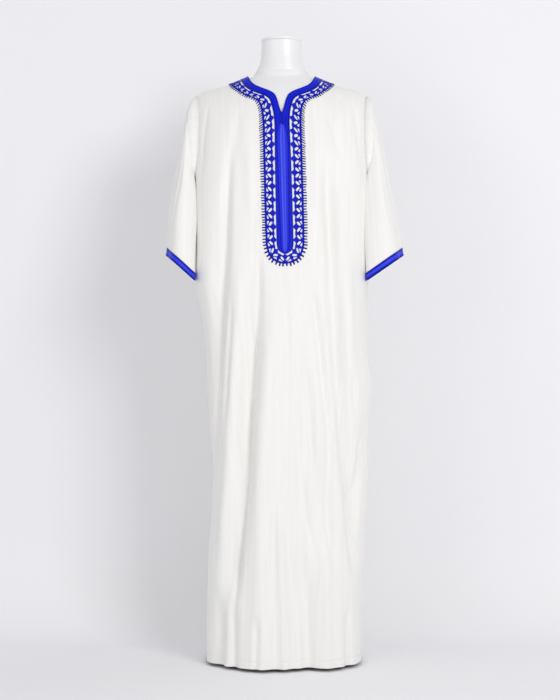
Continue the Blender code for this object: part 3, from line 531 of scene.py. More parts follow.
# Off-white cotton satin: a matt thread in a smooth weave, with a faint sheen and slubs
# along the length. Threads 0.3 mm apart are drawn 1.2 mm apart so that they show.
CLOTH_LIGHT = "#f5f4f1"
CLOTH_SHADE = "#f1f0ec"
THREADS_PER_METRE = 830.0
WAVE_LENGTH = 6.28
cotton, tree, shader = new_material("off_white_cotton_satin", {
    "Roughness": 0.58, "IOR": 1.46, "Sheen Weight": 0.25, "Sheen Roughness": 0.45, "Specular IOR Level": 0.35,
})
flat = add_node(tree, "ShaderNodeUVMap", "UV", uv_map="cloth")
stretched = add_node(tree, "ShaderNodeMapping", "Vector", {"Vector": flat, "Scale": (120.0, 5.0, 1.0)})
slub = add_noise(tree, stretched, 1.0, detail=3.0)
warp, weft = (
    add_node(tree, "ShaderNodeTexWave", "Fac",
             {"Vector": flat, "Scale": THREADS_PER_METRE / WAVE_LENGTH, "Distortion": 0.4}, bands_direction=direction)
    for direction in "XY")
weave = add_node(tree, "ShaderNodeMath", "Value", {0: warp, 1: weft}, operation="MULTIPLY")
height = add_node(tree, "ShaderNodeMath", "Value", {0: slub, 1: 1.5, 2: weave}, operation="MULTIPLY_ADD")
dress_shader(tree, shader, add_ramp(tree, slub, ((0.35, CLOTH_SHADE), (0.62, CLOTH_LIGHT))), height,
             strength=0.06, distance=0.0003)


def build_panel(name, front, neckline, node):
    """The front or the back of the robe's body."""
    shares, rises = panel_shares_and_rises(neckline)
    points = robe_points(front, shares, rises, hem_lift(rises))
    heights = np.where(rises > UNDERARM_Z, (rises - UNDERARM_Z) * YOKE_FLAT_HEIGHT + UNDERARM_Z, rises)
    flat = paired(shares * QUARTER_GIRTH, heights)
    return sew_cloth(name, points, flat, cotton, "cloth", node, WALL, flipped=not front), points


# The hem is held by one row of white lockstitches, 3.6 mm apart.
STITCH_PITCH = 0.0036
STITCH_LENGTH = 0.0026
STITCH_WIDTH = 0.0006
STITCH_HEIGHT = 0.0004
STITCH_TAPER = 0.7
STITCHED_SHARE = 0.985
STITCH_LINE_POINTS = 2001

sewing_thread, tree, shader = new_material("white_polyester_sewing_thread", {"Roughness": 0.5})
place = add_node(tree, "ShaderNodeTexCoord", "Object")
dress_shader(tree, shader, add_ramp(tree, add_noise(tree, place, 900.0), ((0.3, "#e9e8e4"), (0.7, "#f6f5f1"))))


def build_hem_stitches(name, front):
    """The row of stitches along the top of one panel's turned-up hem."""
    share = np.linspace(-STITCHED_SHARE, STITCHED_SHARE, STITCH_LINE_POINTS)
    low, high = (robe_points(front, share, HEM_Z + HEM_DEPTH, WALL + height) for height in (0.0, STITCH_HEIGHT))
    reach = reach_along(low)
    mesh = bmesh.new()
    for start in np.arange(0.0, reach[-1] - STITCH_LENGTH, STITCH_PITCH):
        for vert in bmesh.ops.create_cube(mesh, size=2.0)["verts"]:
            along, out, up = vert.co
            line = high if out > 0 else low
            spot = start + STITCH_LENGTH / 2 * (1 + along * (STITCH_TAPER if out > 0 else 1.0))
            vert.co = [np.interp(spot, reach, line[:, axis]) for axis in range(3)]
            vert.co.z += up * STITCH_WIDTH / 2
    bmesh.ops.recalc_face_normals(mesh, faces=mesh.faces)
    return finish_piece(name, mesh, sewing_thread, "cloth", rounded=False)


front_cloth, front_points = build_panel("front_cloth", True, FRONT_NECKLINE, "robe_front")
back_cloth, back_points = build_panel("back_cloth", False, BACK_NECKLINE, "robe_back")
front_stitches = build_hem_stitches("front_hem_stitches", True)
back_stitches = build_hem_stitches("back_hem_stitches", False)


# Sleeves. Each is a short wide tube of the same cotton, set into the armhole with a flat
# seam, and falls from the shoulder against the body in a few long folds.
SLEEVE_ROUNDNESS = 2.2
ARMHOLE_SHARES = (1.0, 0.85, 0.6, 0.35, 0.15)
SEAM_OVERLAP = 0.030
LEAST_OVERLAP = 0.0035
OVERLAP_CLIMB = 0.25
SEAM_LIFT = 0.0005
FLUSH_LIFT = 0.0002
CROWN_DROP = 0.8
CROWN_POWER = 4
FOLD_FADE_IN = 0.3
SLOPE_STEP = 0.01
SLEEVE_ROWS = 84
SLEEVE_FLAT_LENGTH = 0.30
# The sleeve's inner corners hang a little over the body: where round the tube, how wide,
# how far in and down, and over which share of its length this comes in.
OVERHANG = {"turn": 124.0, "width": 25.0, "reach": {-1: 0.019, 1: 0.027}, "drop": 0.019, "first": -0.06,
            "full": 0.36}
# Outer height, outer distance on the left and right, inner height, inner distance, depth.
SLEEVE_RINGS = (
    (1.3975, 0.2225, 0.2215, 1.1405, 0.2215, 0.052),
    (1.3870, 0.2280, 0.2260, 1.1380, 0.2240, 0.056),
    (1.3620, 0.2350, 0.2315, 1.1280, 0.2245, 0.062),
    (1.3250, 0.2430, 0.2400, 1.1140, 0.2230, 0.070),
    (1.2800, 0.2510, 0.2515, 1.0970, 0.2215, 0.078),
    (1.2350, 0.2585, 0.2610, 1.0790, 0.2205, 0.085),
    (1.1900, 0.2680, 0.2690, 1.0600, 0.2200, 0.091),
    (1.1450, 0.2755, 0.2780, 1.0400, 0.2198, 0.096),
    (1.1050, 0.2800, 0.2870, 1.0200, 0.2197, 0.098),
    (1.0700, 0.2820, 0.2940, 1.0000, 0.2196, 0.099),
    (1.0290, 0.2840, 0.3000, 0.9720, 0.2195, 0.100),
)
# Each fold: place round the tube in degrees from its outer edge towards the front, at the
# armhole and at the cuff, depth, half-width in degrees, and where it starts and ends.
SLEEVE_FOLDS = (
    (42.0, 42.0, -0.006, 13.0, 0.10, 1.0),
    (95.0, 95.0, 0.005, 20.0, 0.10, 1.0),
    (-50.0, -50.0, -0.006, 14.0, 0.10, 1.0),
    (-100.0, -100.0, 0.005, 20.0, 0.10, 1.0),
    (70.0, 62.0, -0.004, 6.0, 0.25, 0.90),
    (22.0, 26.0, 0.003, 7.0, 0.20, 1.0),
    (118.0, 128.0, -0.004, 8.0, 0.30, 1.0),
    (-25.0, -20.0, -0.003, 7.0, 0.30, 1.0),
    (-78.0, -70.0, -0.004, 8.0, 0.20, 0.95),
)
# Short drags beside the armhole: first and last turn, the share of the sleeve's length at
# both, depth and half-width as such a share.
SLEEVE_DRAGS = (
    (12.0, 128.0, 0.23, 0.12, -0.0040, 0.032),
    (8.0, 105.0, 0.11, 0.03, -0.0034, 0.026),
    (-14.0, -120.0, 0.20, 0.10, -0.0034, 0.034),
)


def sleeve_rings(side, turns, table, ends):
    """Points of the tube's rings between two places along a table, at turns round it."""
    stops = np.linspace(0.0, 1.0, len(table))
    on_sleeve = table is SLEEVE_RINGS
    degrees = np.degrees(turns)
    power = 2 / SLEEVE_ROUNDNESS
    out = np.sign(np.cos(turns)) * np.abs(np.cos(turns)) ** power
    deep = -np.sign(np.sin(turns)) * np.abs(np.sin(turns)) ** power
    near = np.exp(-(((np.minimum(degrees, 360 - degrees) - OVERHANG["turn"]) / OVERHANG["width"]) ** 2))
    rings = []
    for along in ends:
        outer_z, outer_left, outer_right, inner_z, inner, half_depth = (
            float(smooth(along, stops, column(table, number))) for number in range(6))
        outer = outer_left if side < 0 else outer_right
        middle = np.array((side * (outer + inner) / 2, 0.0, (outer_z + inner_z) / 2))
        arm = np.array((side * (outer - inner) / 2, 0.0, (outer_z - inner_z) / 2))
        depth = np.array((0.0, half_depth, 0.0))
        swell = np.zeros(len(turns))
        for start, end, amount, width, first, last in SLEEVE_FOLDS:
            part = np.clip((along - first) / max(last - first, LEAST_FADE), 0.0, 1.0) if on_sleeve else 1.0
            fade = min(part / FOLD_FADE_IN, 1.0) if last >= 1.0 else math.sin(math.pi * part)
            away = (degrees - (start + (end - start) * part) + 180) % 360 - 180
            swell = swell + amount * fade * np.exp(-((away / width) ** 2))
        if on_sleeve:
            swell = swell + drag_swell(degrees, along)
        grow = 1.0 + swell / half_depth
        ring = middle + out[:, None] * arm * grow[:, None] + deep[:, None] * depth * grow[:, None]
        begun = ease((along - OVERHANG["first"]) / (OVERHANG["full"] - OVERHANG["first"])) if on_sleeve else 1.0
        ring[:, 0] -= side * OVERHANG["reach"][side] * begun * near
        ring[:, 2] -= OVERHANG["drop"] * begun * near
        rings.append(ring)
    return np.array(rings)


def drag_swell(degrees, along):
    """How far the short drags beside the armhole move the cloth at turns round one ring."""
    degrees = (degrees + 180) % 360 - 180
    total = np.zeros(len(degrees))
    for first_turn, last_turn, first, last, amount, width in SLEEVE_DRAGS:
        part = np.clip((degrees - first_turn) / (last_turn - first_turn), 0.0, 1.0)
        away = (along - first - (last - first) * part) / width
        total = total + amount * np.sin(math.pi * part) * np.exp(-away * away)
    return total


def armhole_loop(side):
    """The armhole's edge, from the shoulder down the front and up the back."""
    edge = -1 if side > 0 else 0
    front, back = (points[-YOKE_ROWS - 1:, edge] for points in (front_points, back_points))
    loop = np.concatenate((front[::-1], back[1:]))
    loop[[0, len(front) - 1, -1], 1] = 0.0
    return loop


def seam_loop(side):
    """Where the sleeve's edge lies on the body: inside the armhole, flush with the wall."""
    halves = []
    for front, neckline in ((True, FRONT_NECKLINE), (False, BACK_NECKLINE)):
        edge = -1 if side > 0 else 0
        shares, rises = (rows[-YOKE_ROWS - 1:, edge] for rows in panel_shares_and_rises(neckline))
        rise = np.minimum(rises, RIDGE_RISE - SLOPE_STEP)
        climb = np.clip((rises - UNDERARM_Z) / OVERLAP_CLIMB, 0.0, 1.0)
        share = shares * (1.0 - (LEAST_OVERLAP + (SEAM_OVERLAP - LEAST_OVERLAP) * climb) / QUARTER_GIRTH)
        across = robe_points(front, share, rise) - robe_points(front, share * (1.0 - SLOPE_STEP), rise)
        up = robe_points(front, share, rise + SLOPE_STEP) - robe_points(front, share, rise)
        out = unit(np.cross(across, up)) * (side if front else -side)
        lift = SEAM_LIFT + WALL * (1 - climb) + FLUSH_LIFT * climb
        halves.append(robe_points(front, share, rises) + out * lift[:, None])
    loop = np.concatenate((halves[0][::-1], halves[1][1:]))
    loop[[0, YOKE_ROWS, -1], 1] = 0.0
    loop[[0, -1], 2] += SEAM_LIFT
    loop[YOKE_ROWS] = (side * (SHOULDER_HALF_WIDTH + WALL + SEAM_LIFT), 0.0, UNDERARM_Z - LEAST_OVERLAP)
    return loop


def ring_turns(loop):
    """Angle of each point of the armhole round its middle, 0 at the shoulder."""
    high, low = loop[:, 2].max(), loop[:, 2].min()
    turns = np.arccos(np.clip((loop[:, 2] - (high + low) / 2) / ((high - low) / 2), -1.0, 1.0))
    turns = np.where(np.arange(len(loop)) > len(loop) // 2, 2 * math.pi - turns, turns)
    turns[-1] = 2 * math.pi
    return turns


def build_sleeve(name, side, node):
    """A sleeve from the armhole down to its cuff seam."""
    turns = ring_turns(armhole_loop(side))
    start = seam_loop(side)
    ends = np.linspace(0.0, 1.0, SLEEVE_ROWS)
    rings = sleeve_rings(side, turns, SLEEVE_RINGS, ends)
    keep = np.interp(ends * (len(SLEEVE_RINGS) - 1), range(len(ARMHOLE_SHARES) + 1), ARMHOLE_SHARES + (0.0,))
    crown = np.clip(np.cos(turns), 0.0, 1.0) ** CROWN_POWER
    keep = (keep[:, None] * (1 - CROWN_DROP * crown[None, :]))[:, :, None]
    rings[:, :, 1:] = keep * start[None, :, 1:] + (1 - keep) * rings[:, :, 1:]
    points = np.concatenate((start[None], rings))
    flat = paired(reach_along(rings[-1]), -np.linspace(0.0, SLEEVE_FLAT_LENGTH, len(points))[:, None])
    return sew_cloth(name, points, flat, cotton, "cloth", node, WALL, flipped=side < 0, closed=True)


for side, hand in ((-1, "left"), (1, "right")):
    sleeve = build_sleeve(hand + "_sleeve_cloth", side, "sleeve_" + hand)


# Cuffs. A satin band closes each sleeve, with a corded edge along both of its sides.
CUFF_WALL = 0.0012
CUFF_WIDTH = 0.018
CUFF_RINGS = (
    (1.0280, 0.2841, 0.3001, 0.9710, 0.2195, 0.1000),
    (1.0190, 0.2855, 0.3015, 0.9620, 0.2193, 0.1004),
    (1.0100, 0.2870, 0.3030, 0.9530, 0.2190, 0.1008),
)
# Share of the band's width from the sleeve, and how far the surface stands out there.
CUFF_PROFILE = (
    (0.00, 0.0000), (0.03, 0.0007), (0.08, 0.0011), (0.13, 0.0009), (0.17, 0.0002), (0.22, 0.0000),
    (0.36, 0.0003), (0.50, 0.0004), (0.64, 0.0003), (0.78, 0.0000), (0.83, 0.0002), (0.87, 0.0009),
    (0.92, 0.0011), (0.97, 0.0007), (1.00, 0.0000),
)

# Royal blue viscose satin braid: close floats of bright thread give it a silky gloss.
# Threads 0.25 mm apart are drawn 0.9 mm apart so that they show.
THREAD_SHADE = "#b4b4c4"
BRAID_THREADS_PER_METRE = 1100.0


def satin_braid(name, width, lines):
    """Satin thread braid on the flat map: lengthwise lines of colour, crossed by threads. On some braids these lines
    are painted shade in the grooves and painted light on the raised cords and ribs.
    """
    made, tree, shader = new_material(name, {"Roughness": 0.40, "IOR": 1.45, "Specular IOR Level": 0.12})
    flat = add_node(tree, "ShaderNodeUVMap", "UV", uv_map="cloth")
    across = add_node(tree, "ShaderNodeMapping", "Vector", {"Vector": flat, "Scale": (1 / width, 1.0, 1.0)})
    # The lengthwise lines carry each braid's own colour and, where its ramp follows the raised profile, painted shade
    # and painted light.
    stripes_and_painted_shade = add_ramp(tree, add_node(tree, "ShaderNodeSeparateXYZ", "X", {"Vector": across}), lines)
    threads = add_node(tree, "ShaderNodeTexWave", "Fac", {
        "Vector": flat, "Scale": BRAID_THREADS_PER_METRE / WAVE_LENGTH, "Distortion": 1.2, "Detail": 2.0,
        "Detail Scale": 60.0,
    }, bands_direction="Y")
    grain = add_noise(tree, flat, 420.0, detail=3.0)
    mixed = add_node(tree, "ShaderNodeMath", "Value", {0: threads, 1: 0.45, 2: grain}, operation="MULTIPLY_ADD")
    shade = add_ramp(tree, mixed, ((0.42, THREAD_SHADE), (0.75, "#ffffff")))
    # The mix node's sockets go by number: its factor, its two colours and its colour result.
    tint = add_node(tree, "ShaderNodeMix", 2, {0: 1.0, 6: stripes_and_painted_shade, 7: shade}, data_type="RGBA", blend_type="MULTIPLY")
    dress_shader(tree, shader, tint, mixed, strength=0.35, distance=0.0004)
    return made


cuff_satin = satin_braid("royal_blue_cuff_satin", CUFF_WIDTH, (
    (0.00, "#08128c"), (0.12, "#0f1cb0"), (0.24, "#2433e4"), (0.50, "#4553f4"), (0.76, "#2433e4"),
    (0.88, "#0f1cb0"), (1.00, "#08128c"),
))


def build_cuff(name, side, node):
    """The satin band on a sleeve's end."""
    turns = ring_turns(armhole_loop(side))
    shares = column(CUFF_PROFILE, 0)
    rings = sleeve_rings(side, turns, CUFF_RINGS, shares)
    out = unit(rings - rings.mean(axis=1, keepdims=True))
    points = rings + out * column(CUFF_PROFILE, 1)[:, None, None]
    flat = paired(shares[:, None] * CUFF_WIDTH, reach_along(rings[-1]))
    return sew_cloth(name, points, flat, cuff_satin, "braid", node, CUFF_WALL, flipped=side < 0, closed=True)


for side, hand in ((-1, "left"), (1, "right")):
    cuff = build_cuff(hand + "_cuff_satin", side, "cuff_" + hand)


# Neck trim. A corded satin braid is sewn round the neck, down the slit and down both
# sides of the placket, and a braid with two lobes closes the placket; that braid's lighter blue is painted sheen.
TRIM_LIFT = 0.0003
RIDGE_LIFT = 0.0009
RIDGE_LIFT_SPREAD = 0.16
# Distance and height of the braid's inner edge, its outer edge and the embroidered
# border's outer line, from the back of the neck over the shoulder line to the bib's foot.
TRIM_STATIONS = (
    (0.0000, 1.4257, 0.0000, 1.4090, 0.0000, 1.3815),
    (0.0250, 1.4273, 0.0310, 1.4102, 0.0390, 1.3835),
    (0.0500, 1.4320, 0.0600, 1.4160, 0.0780, 1.3940),
    (0.0680, 1.4400, 0.0830, 1.4270, 0.1060, 1.4095),
    (0.0780, 1.4470, 0.0965, 1.4390, 0.1200, 1.4250),
    (0.0820, 0.0, 0.1020, 0.0, 0.1265, 0.0),
    (0.0790, 1.4470, 0.0980, 1.4370, 0.1205, 1.4240),
    (0.0720, 1.4340, 0.0870, 1.4205, 0.1030, 1.4080),
    (0.0610, 1.4250, 0.0720, 1.4100, 0.0860, 1.3960),
    (0.0450, 1.4172, 0.0560, 1.4025, 0.0690, 1.3890),
    (0.0310, 1.4112, 0.0420, 1.3970, 0.0585, 1.3800),
    (0.0190, 1.4035, 0.0310, 1.3880, 0.0530, 1.3660),
    (0.0110, 1.3890, 0.0240, 1.3680, 0.0505, 1.3480),
    (0.0055, 1.3685, 0.0200, 1.3450, 0.0495, 1.3280),
    (0.0006, 1.3520, 0.0190, 1.3270, 0.0495, 1.3110),
    (0.0006, 1.3380, 0.0190, 1.3080, 0.0495, 1.2940),
    (0.0070, 1.3200, 0.0193, 1.2850, 0.0495, 1.2720),
    (0.0128, 1.2950, 0.0196, 1.2500, 0.0495, 1.2450),
    (0.0122, 1.2000, 0.0200, 1.2000, 0.0495, 1.2000),
    (0.0105, 1.1000, 0.0206, 1.1000, 0.0495, 1.1000),
    (0.0095, 1.0500, 0.0206, 1.0500, 0.0490, 1.0500),
    (0.0090, 1.0310, 0.0202, 1.0275, 0.0470, 1.0210),
    (0.0080, 1.0210, 0.0165, 1.0160, 0.0370, 0.9965),
    (0.0048, 1.0140, 0.0088, 1.0095, 0.0190, 0.9840),
    (0.0000, 1.0105, 0.0000, 1.0055, 0.0000, 0.9805),
)
RIDGE_STATION = 5
BIB_DRIFT = 0.0086
BIB_DRIFT_TOP = 1.370
BIB_DRIFT_BOTTOM = 1.030
SLOPE_ACROSS = 0.002
SLOPE_UP = 0.006
DRIFT_PER_RISE = 0.5
PLACKET_TOP = 1.336
BRAID_ROWS = 420
FINE_POINTS = 900
# Share across the braid from its inner edge, and how high it stands: two cords and two
# soft ribs. The placket's braid is given from edge to edge.
BRAID_PROFILE = (
    (0.00, 0.0002), (0.03, 0.0011), (0.09, 0.0016), (0.15, 0.0011), (0.19, 0.0005), (0.30, 0.0010),
    (0.40, 0.0011), (0.50, 0.0005), (0.60, 0.0011), (0.70, 0.0010), (0.79, 0.0005), (0.84, 0.0012),
    (0.91, 0.0018), (0.97, 0.0012), (1.00, 0.0002),
)
PLACKET_PROFILE = (
    (-1.00, 0.0002), (-0.94, 0.0009), (-0.85, 0.0011), (-0.76, 0.0006), (-0.62, 0.0011), (-0.40, 0.0019),
    (-0.18, 0.0013), (0.00, 0.0004), (0.18, 0.0013), (0.40, 0.0019), (0.62, 0.0011), (0.76, 0.0006),
    (0.85, 0.0011), (0.94, 0.0009), (1.00, 0.0002),
)
PLACKET_TUCK = 0.0005
LEAST_PLACKET = 0.0006
BRAID_FILL = 0.985
BRAID_WIDTH = 0.018
LEAST_BRAID_X = 0.0003
BORDER_WIDTH = 0.029
PLACKET_WIDTH = 0.024


def wrapped_points(x, rise):
    """Points of the inner face, along the front, over the shoulder line and down the back."""
    climb = np.where(rise <= RIDGE_RISE, rise, 2 * RIDGE_RISE - rise)
    share = share_at(x, np.minimum(climb, UNDERARM_Z))
    front, back = (robe_points(front, share, climb) for front in (True, False))
    return np.where((rise <= RIDGE_RISE)[..., None], front, back)


def trim_points(side, x, rise, height):
    """Points of what is sewn on, with the bib's drift, at a height above the cloth."""
    level = np.where(rise < UNDERARM_Z, rise, UNDERARM_Z + (rise - UNDERARM_Z) * DRIFT_PER_RISE)
    part = (BIB_DRIFT_TOP - level) / (BIB_DRIFT_TOP - BIB_DRIFT_BOTTOM)
    spot = side * x + BIB_DRIFT * np.clip(part, 0.0, 1.0)
    across = wrapped_points(spot + SLOPE_ACROSS, rise) - wrapped_points(spot - SLOPE_ACROSS, rise)
    up = wrapped_points(spot, rise + SLOPE_UP) - wrapped_points(spot, rise - SLOPE_UP)
    out = unit(np.cross(across, up))
    lift = WALL + TRIM_LIFT + RIDGE_LIFT * np.exp(-(((rise - RIDGE_RISE) / RIDGE_LIFT_SPREAD) ** 2)) + height
    return wrapped_points(spot, rise) + out * lift[..., None]


def station_rise(number, x, z):
    """Rise of a station's edge, up the back, on the shoulder line or down the front."""
    if number == RIDGE_STATION:
        return RIDGE_RISE
    rise = float(rise_at(x, z))
    return 2 * RIDGE_RISE - rise if number < RIDGE_STATION else rise


def edge_table(first):
    """Distances from the middle and rises of the edge whose numbers start at a column."""
    rises = [station_rise(number, *row[first:first + 2]) for number, row in enumerate(TRIM_STATIONS)]
    return column(TRIM_STATIONS, first), np.array(rises)


TRIM_EDGES = {"neck": edge_table(0), "braid": edge_table(2), "border": edge_table(4)}


def between_edges(inner, outer, along, across):
    """Distance from the middle and rise, at places along the stations and between two edges."""
    edges = ([smooth(along, TRIM_STOPS, part) for part in TRIM_EDGES[name]] for name in (inner, outer))
    return [start + (end - start) * across for start, end in zip(*edges)]


MIDDLE_STATIONS = [(inner + outer) / 2 for inner, outer in zip(TRIM_EDGES["braid"], TRIM_EDGES["border"])]
TRIM_REACH = reach_along(wrapped_points(*MIDDLE_STATIONS))
TRIM_STOPS = TRIM_REACH / TRIM_REACH[-1]
# The same line measured finely, so that equal shares along it are equal lengths.
FINE_STOPS = np.linspace(0.0, 1.0, FINE_POINTS)
FINE_REACH = reach_along(wrapped_points(*between_edges("braid", "border", FINE_STOPS, 0.5)))
TRIM_LENGTH = FINE_REACH[-1]


def trim_place(inner, outer, along, across):
    """Distance from the middle and rise, at shares of the trim's length and between two edges."""
    return between_edges(inner, outer, np.interp(along, FINE_REACH / TRIM_LENGTH, FINE_STOPS), across)


def sew_strip(name, profile, width, points_at, along, look, slot="braid", replaced=()):
    """A braid or cord with a shaped top and a flat underside, closed at its ends."""
    shares, heights = column(profile, 0), column(profile, 1)
    order = list(range(len(shares))) + list(range(len(shares) - 1, -1, -1)) + [0]
    lift = np.concatenate((heights, np.zeros(len(shares)), heights[:1]))
    across = (shares - shares[0]) / (shares[-1] - shares[0]) * width
    mesh = shaped_grid(points_at(shares[order], lift), paired(across[order], along[:, None]), closed=True)
    close_ends(mesh)
    return finish_piece(name, mesh, look, slot, replaced)


def build_neck_braid():
    """The corded braid round the neck, down the slit and beside the placket."""
    half = np.linspace(0.0, 1.0, BRAID_ROWS // 2)
    along = np.concatenate((half[::-1], half[1:]))
    side = np.concatenate((-np.ones(len(half)), np.ones(len(half) - 1)))

    def points_at(shares, lift):
        x, rise = trim_place("neck", "braid", along[:, None], shares * BRAID_FILL)
        return trim_points(side[:, None], np.maximum(x, LEAST_BRAID_X), rise, lift)

    return sew_strip("neck_braid", BRAID_PROFILE, BRAID_WIDTH, points_at, along * TRIM_LENGTH * side, neck_satin,
                     replaced=["neckband"])


def build_placket_braid():
    """The braid with two lobes that closes the placket below the slit, painted lighter for its satin sheen."""
    x, rise = trim_place("neck", "braid", np.linspace(0.0, 1.0, BRAID_ROWS), 0.0)
    half = x + PLACKET_TUCK
    inside = (rise < rise_at(0.0, PLACKET_TOP)) & (half > LEAST_PLACKET)
    half = half[inside][::-1]
    rise = rise[inside][::-1]

    def points_at(shares, lift):
        return trim_points(1.0, half[:, None] * shares, rise[:, None], lift)

    return sew_strip("placket_braid_satin", PLACKET_PROFILE, PLACKET_WIDTH, points_at, rise, placket_satin,
                     "light_braid", ["placket_braid"])


# The neck braid's lines of colour follow its profile: painted shade in the grooves and along both edges, painted
# light on the two cords and two ribs.
neck_satin = satin_braid("royal_blue_neck_braid", BRAID_WIDTH, (
    (0.00, "#040d8c"), (0.10, "#0f20da"), (0.19, "#0612a0"), (0.32, "#1c30f0"), (0.50, "#0a19c8"),
    (0.66, "#182cec"), (0.79, "#0612a0"), (0.90, "#0c1ac4"), (1.00, "#030968"),
))
# The placket braid is painted lighter for its satin sheen, with painted light on its two lobes and painted shade in
# its middle groove and along both edges.
placket_satin = satin_braid("blue_placket_braid_painted_sheen", PLACKET_WIDTH, (
    (0.00, "#1020c4"), (0.12, "#2c3cf0"), (0.24, "#2232e4"), (0.36, "#5a66fa"), (0.50, "#3442ee"),
    (0.64, "#5560fa"), (0.76, "#1e2ee0"), (0.88, "#2636ea"), (1.00, "#0c1ab8"),
))
stitched_satin = satin_braid("royal_blue_satin_stitch", BORDER_WIDTH, (
    (0.00, "#1828e0"), (0.25, "#1222c8"), (0.50, "#0a18b0"), (0.75, "#1424d0"), (1.00, "#1828e0"),
))
neck_braid = build_neck_braid()
placket_braid = build_placket_braid()

# Where the braid's two ends cross at the foot of the slit, a short end lies on top. Each
# row gives its height, middle and half-width.
TAB_ROWS = (
    (1.3545, -0.0002, 0.0012), (1.3500, 0.0000, 0.0040), (1.3440, 0.0004, 0.0066), (1.3360, 0.0010, 0.0072),
    (1.3290, 0.0016, 0.0064), (1.3240, 0.0020, 0.0040), (1.3220, 0.0022, 0.0014),
)
TAB_PROFILE = ((-1.0, 0.0), (-0.8, 0.0009), (-0.4, 0.0014), (0.0, 0.0011), (0.4, 0.0014), (0.8, 0.0009), (1.0, 0.0))
TAB_LIFT = 0.0016
TAB_STEPS = 40


def build_slit_tab():
    """The crossed end of the braid at the foot of the slit."""
    stops = np.linspace(0.0, 1.0, len(TAB_ROWS))
    rows = np.linspace(0.0, 1.0, TAB_STEPS)
    z, middle, half = (smooth(rows, stops, column(TAB_ROWS, number)) for number in range(3))
    def points_at(shares, lift):
        spots = middle[:, None] + half[:, None] * shares
        return trim_points(1.0, spots, rise_at(spots, z[:, None]), TAB_LIFT + lift)

    return sew_strip("slit_tab", TAB_PROFILE, BORDER_WIDTH, points_at, -z, stitched_satin)


slit_tab = build_slit_tab()


# Embroidered border. Blue thread covers net-like shapes round the braid: stars and links
# with gaps of bare cloth between them, a double line of cord outside, and short picots.
HALF_REPEATS = 22
LATTICE_EDGE = 0.79
CORDS_EDGE = 0.92
LATTICE_HEIGHT = 0.0009
CORD_WIDTH = 0.005
BORDER_INSET = 0.012
# One half repeat, charted: shares across the border from the braid, and along
# the border in repeats from the middle of a star.
CELL_OUTLINE = (
    (0.13, 0.0), (LATTICE_EDGE, 0.0), (LATTICE_EDGE, 0.5), (0.0, 0.5), (0.0, 0.42), (0.10, 0.35), (0.18, 0.25),
    (0.15, 0.12),
)
CELL_GAPS = (
    ((0.28, 0.20), (0.37, 0.10), (0.52, 0.21), (0.63, 0.34), (0.62, 0.42), (0.51, 0.44), (0.37, 0.34)),
    ((0.55, 0.11), (0.72, 0.06), (0.75, 0.20), (0.75, 0.38), (0.69, 0.31), (0.60, 0.20)),
)
CHART_EDGE = 0.14
STITCH_ROUNDING = 0.0003
CHART_WELD = 0.00005
MIDDLE_SNAP = 0.00001
ROUND_OFF = 1e-9
PICOTS_PER_REPEAT = 5
PICOT_LENGTH = 0.0080
PICOT_HALF_WIDTH = 0.0016
PICOT_HALF_HEIGHT = 0.0007
PICOT_TAPER = 0.75
PICOT_TUCK = 0.01
PICOT_DRIFT = 0.08
PICOT_UNEVENNESS = 0.12
CORD_PROFILE = (
    (0.00, 0.0003), (0.06, 0.0012), (0.24, 0.0019), (0.42, 0.0012), (0.50, 0.0007), (0.58, 0.0012),
    (0.76, 0.0019), (0.94, 0.0012), (1.00, 0.0003),
)


def chart_points(marks):
    """Places on the robe of marks: side, share across, place along in repeats, height."""
    side, across, repeats, height = np.array(marks, float).T
    share = repeats / HALF_REPEATS
    past = (share > 1.0 + ROUND_OFF) | (share < -ROUND_OFF)
    share = np.where(share > 1.0, 2.0 - share, np.abs(share))
    x, rise = trim_place("braid", "border", share, across + (1 - across) * BORDER_INSET)
    return trim_points(np.where(past, -side, side), np.where(x < MIDDLE_SNAP, 0.0, x), rise, height)


def stamp_chart(name, chart, spots, look, width=0.0):
    """Copy a charted shape to each spot along the border: side, place, direction, sizes."""
    layer = chart.loops.layers.uv.new("cloth")
    pattern = list(chart.verts) + list(chart.edges) + list(chart.faces)
    marks = {}
    for side, place, direction, scale in spots:
        copied = bmesh.ops.duplicate(chart, geom=pattern)["geom"]
        for vert in only(bmesh.types.BMVert, copied):
            across, along, height = vert.co
            marks[vert] = (side, width + (across - width) * scale, place + direction * along, height)
        if side * direction > 0:
            bmesh.ops.reverse_faces(chart, faces=only(bmesh.types.BMFace, copied))
    bmesh.ops.delete(chart, geom=only(bmesh.types.BMVert, pattern), context="VERTS")
    places = chart_points(list(marks.values()))
    for (vert, mark), point in zip(marks.items(), places):
        vert.co = point
        for loop in vert.link_loops:
            loop[layer].uv = (mark[1] * BORDER_WIDTH, mark[0] * mark[2] * TRIM_LENGTH / HALF_REPEATS)
    bmesh.ops.remove_doubles(chart, verts=chart.verts, dist=CHART_WELD)
    return finish_piece(name, chart, look, "braid")


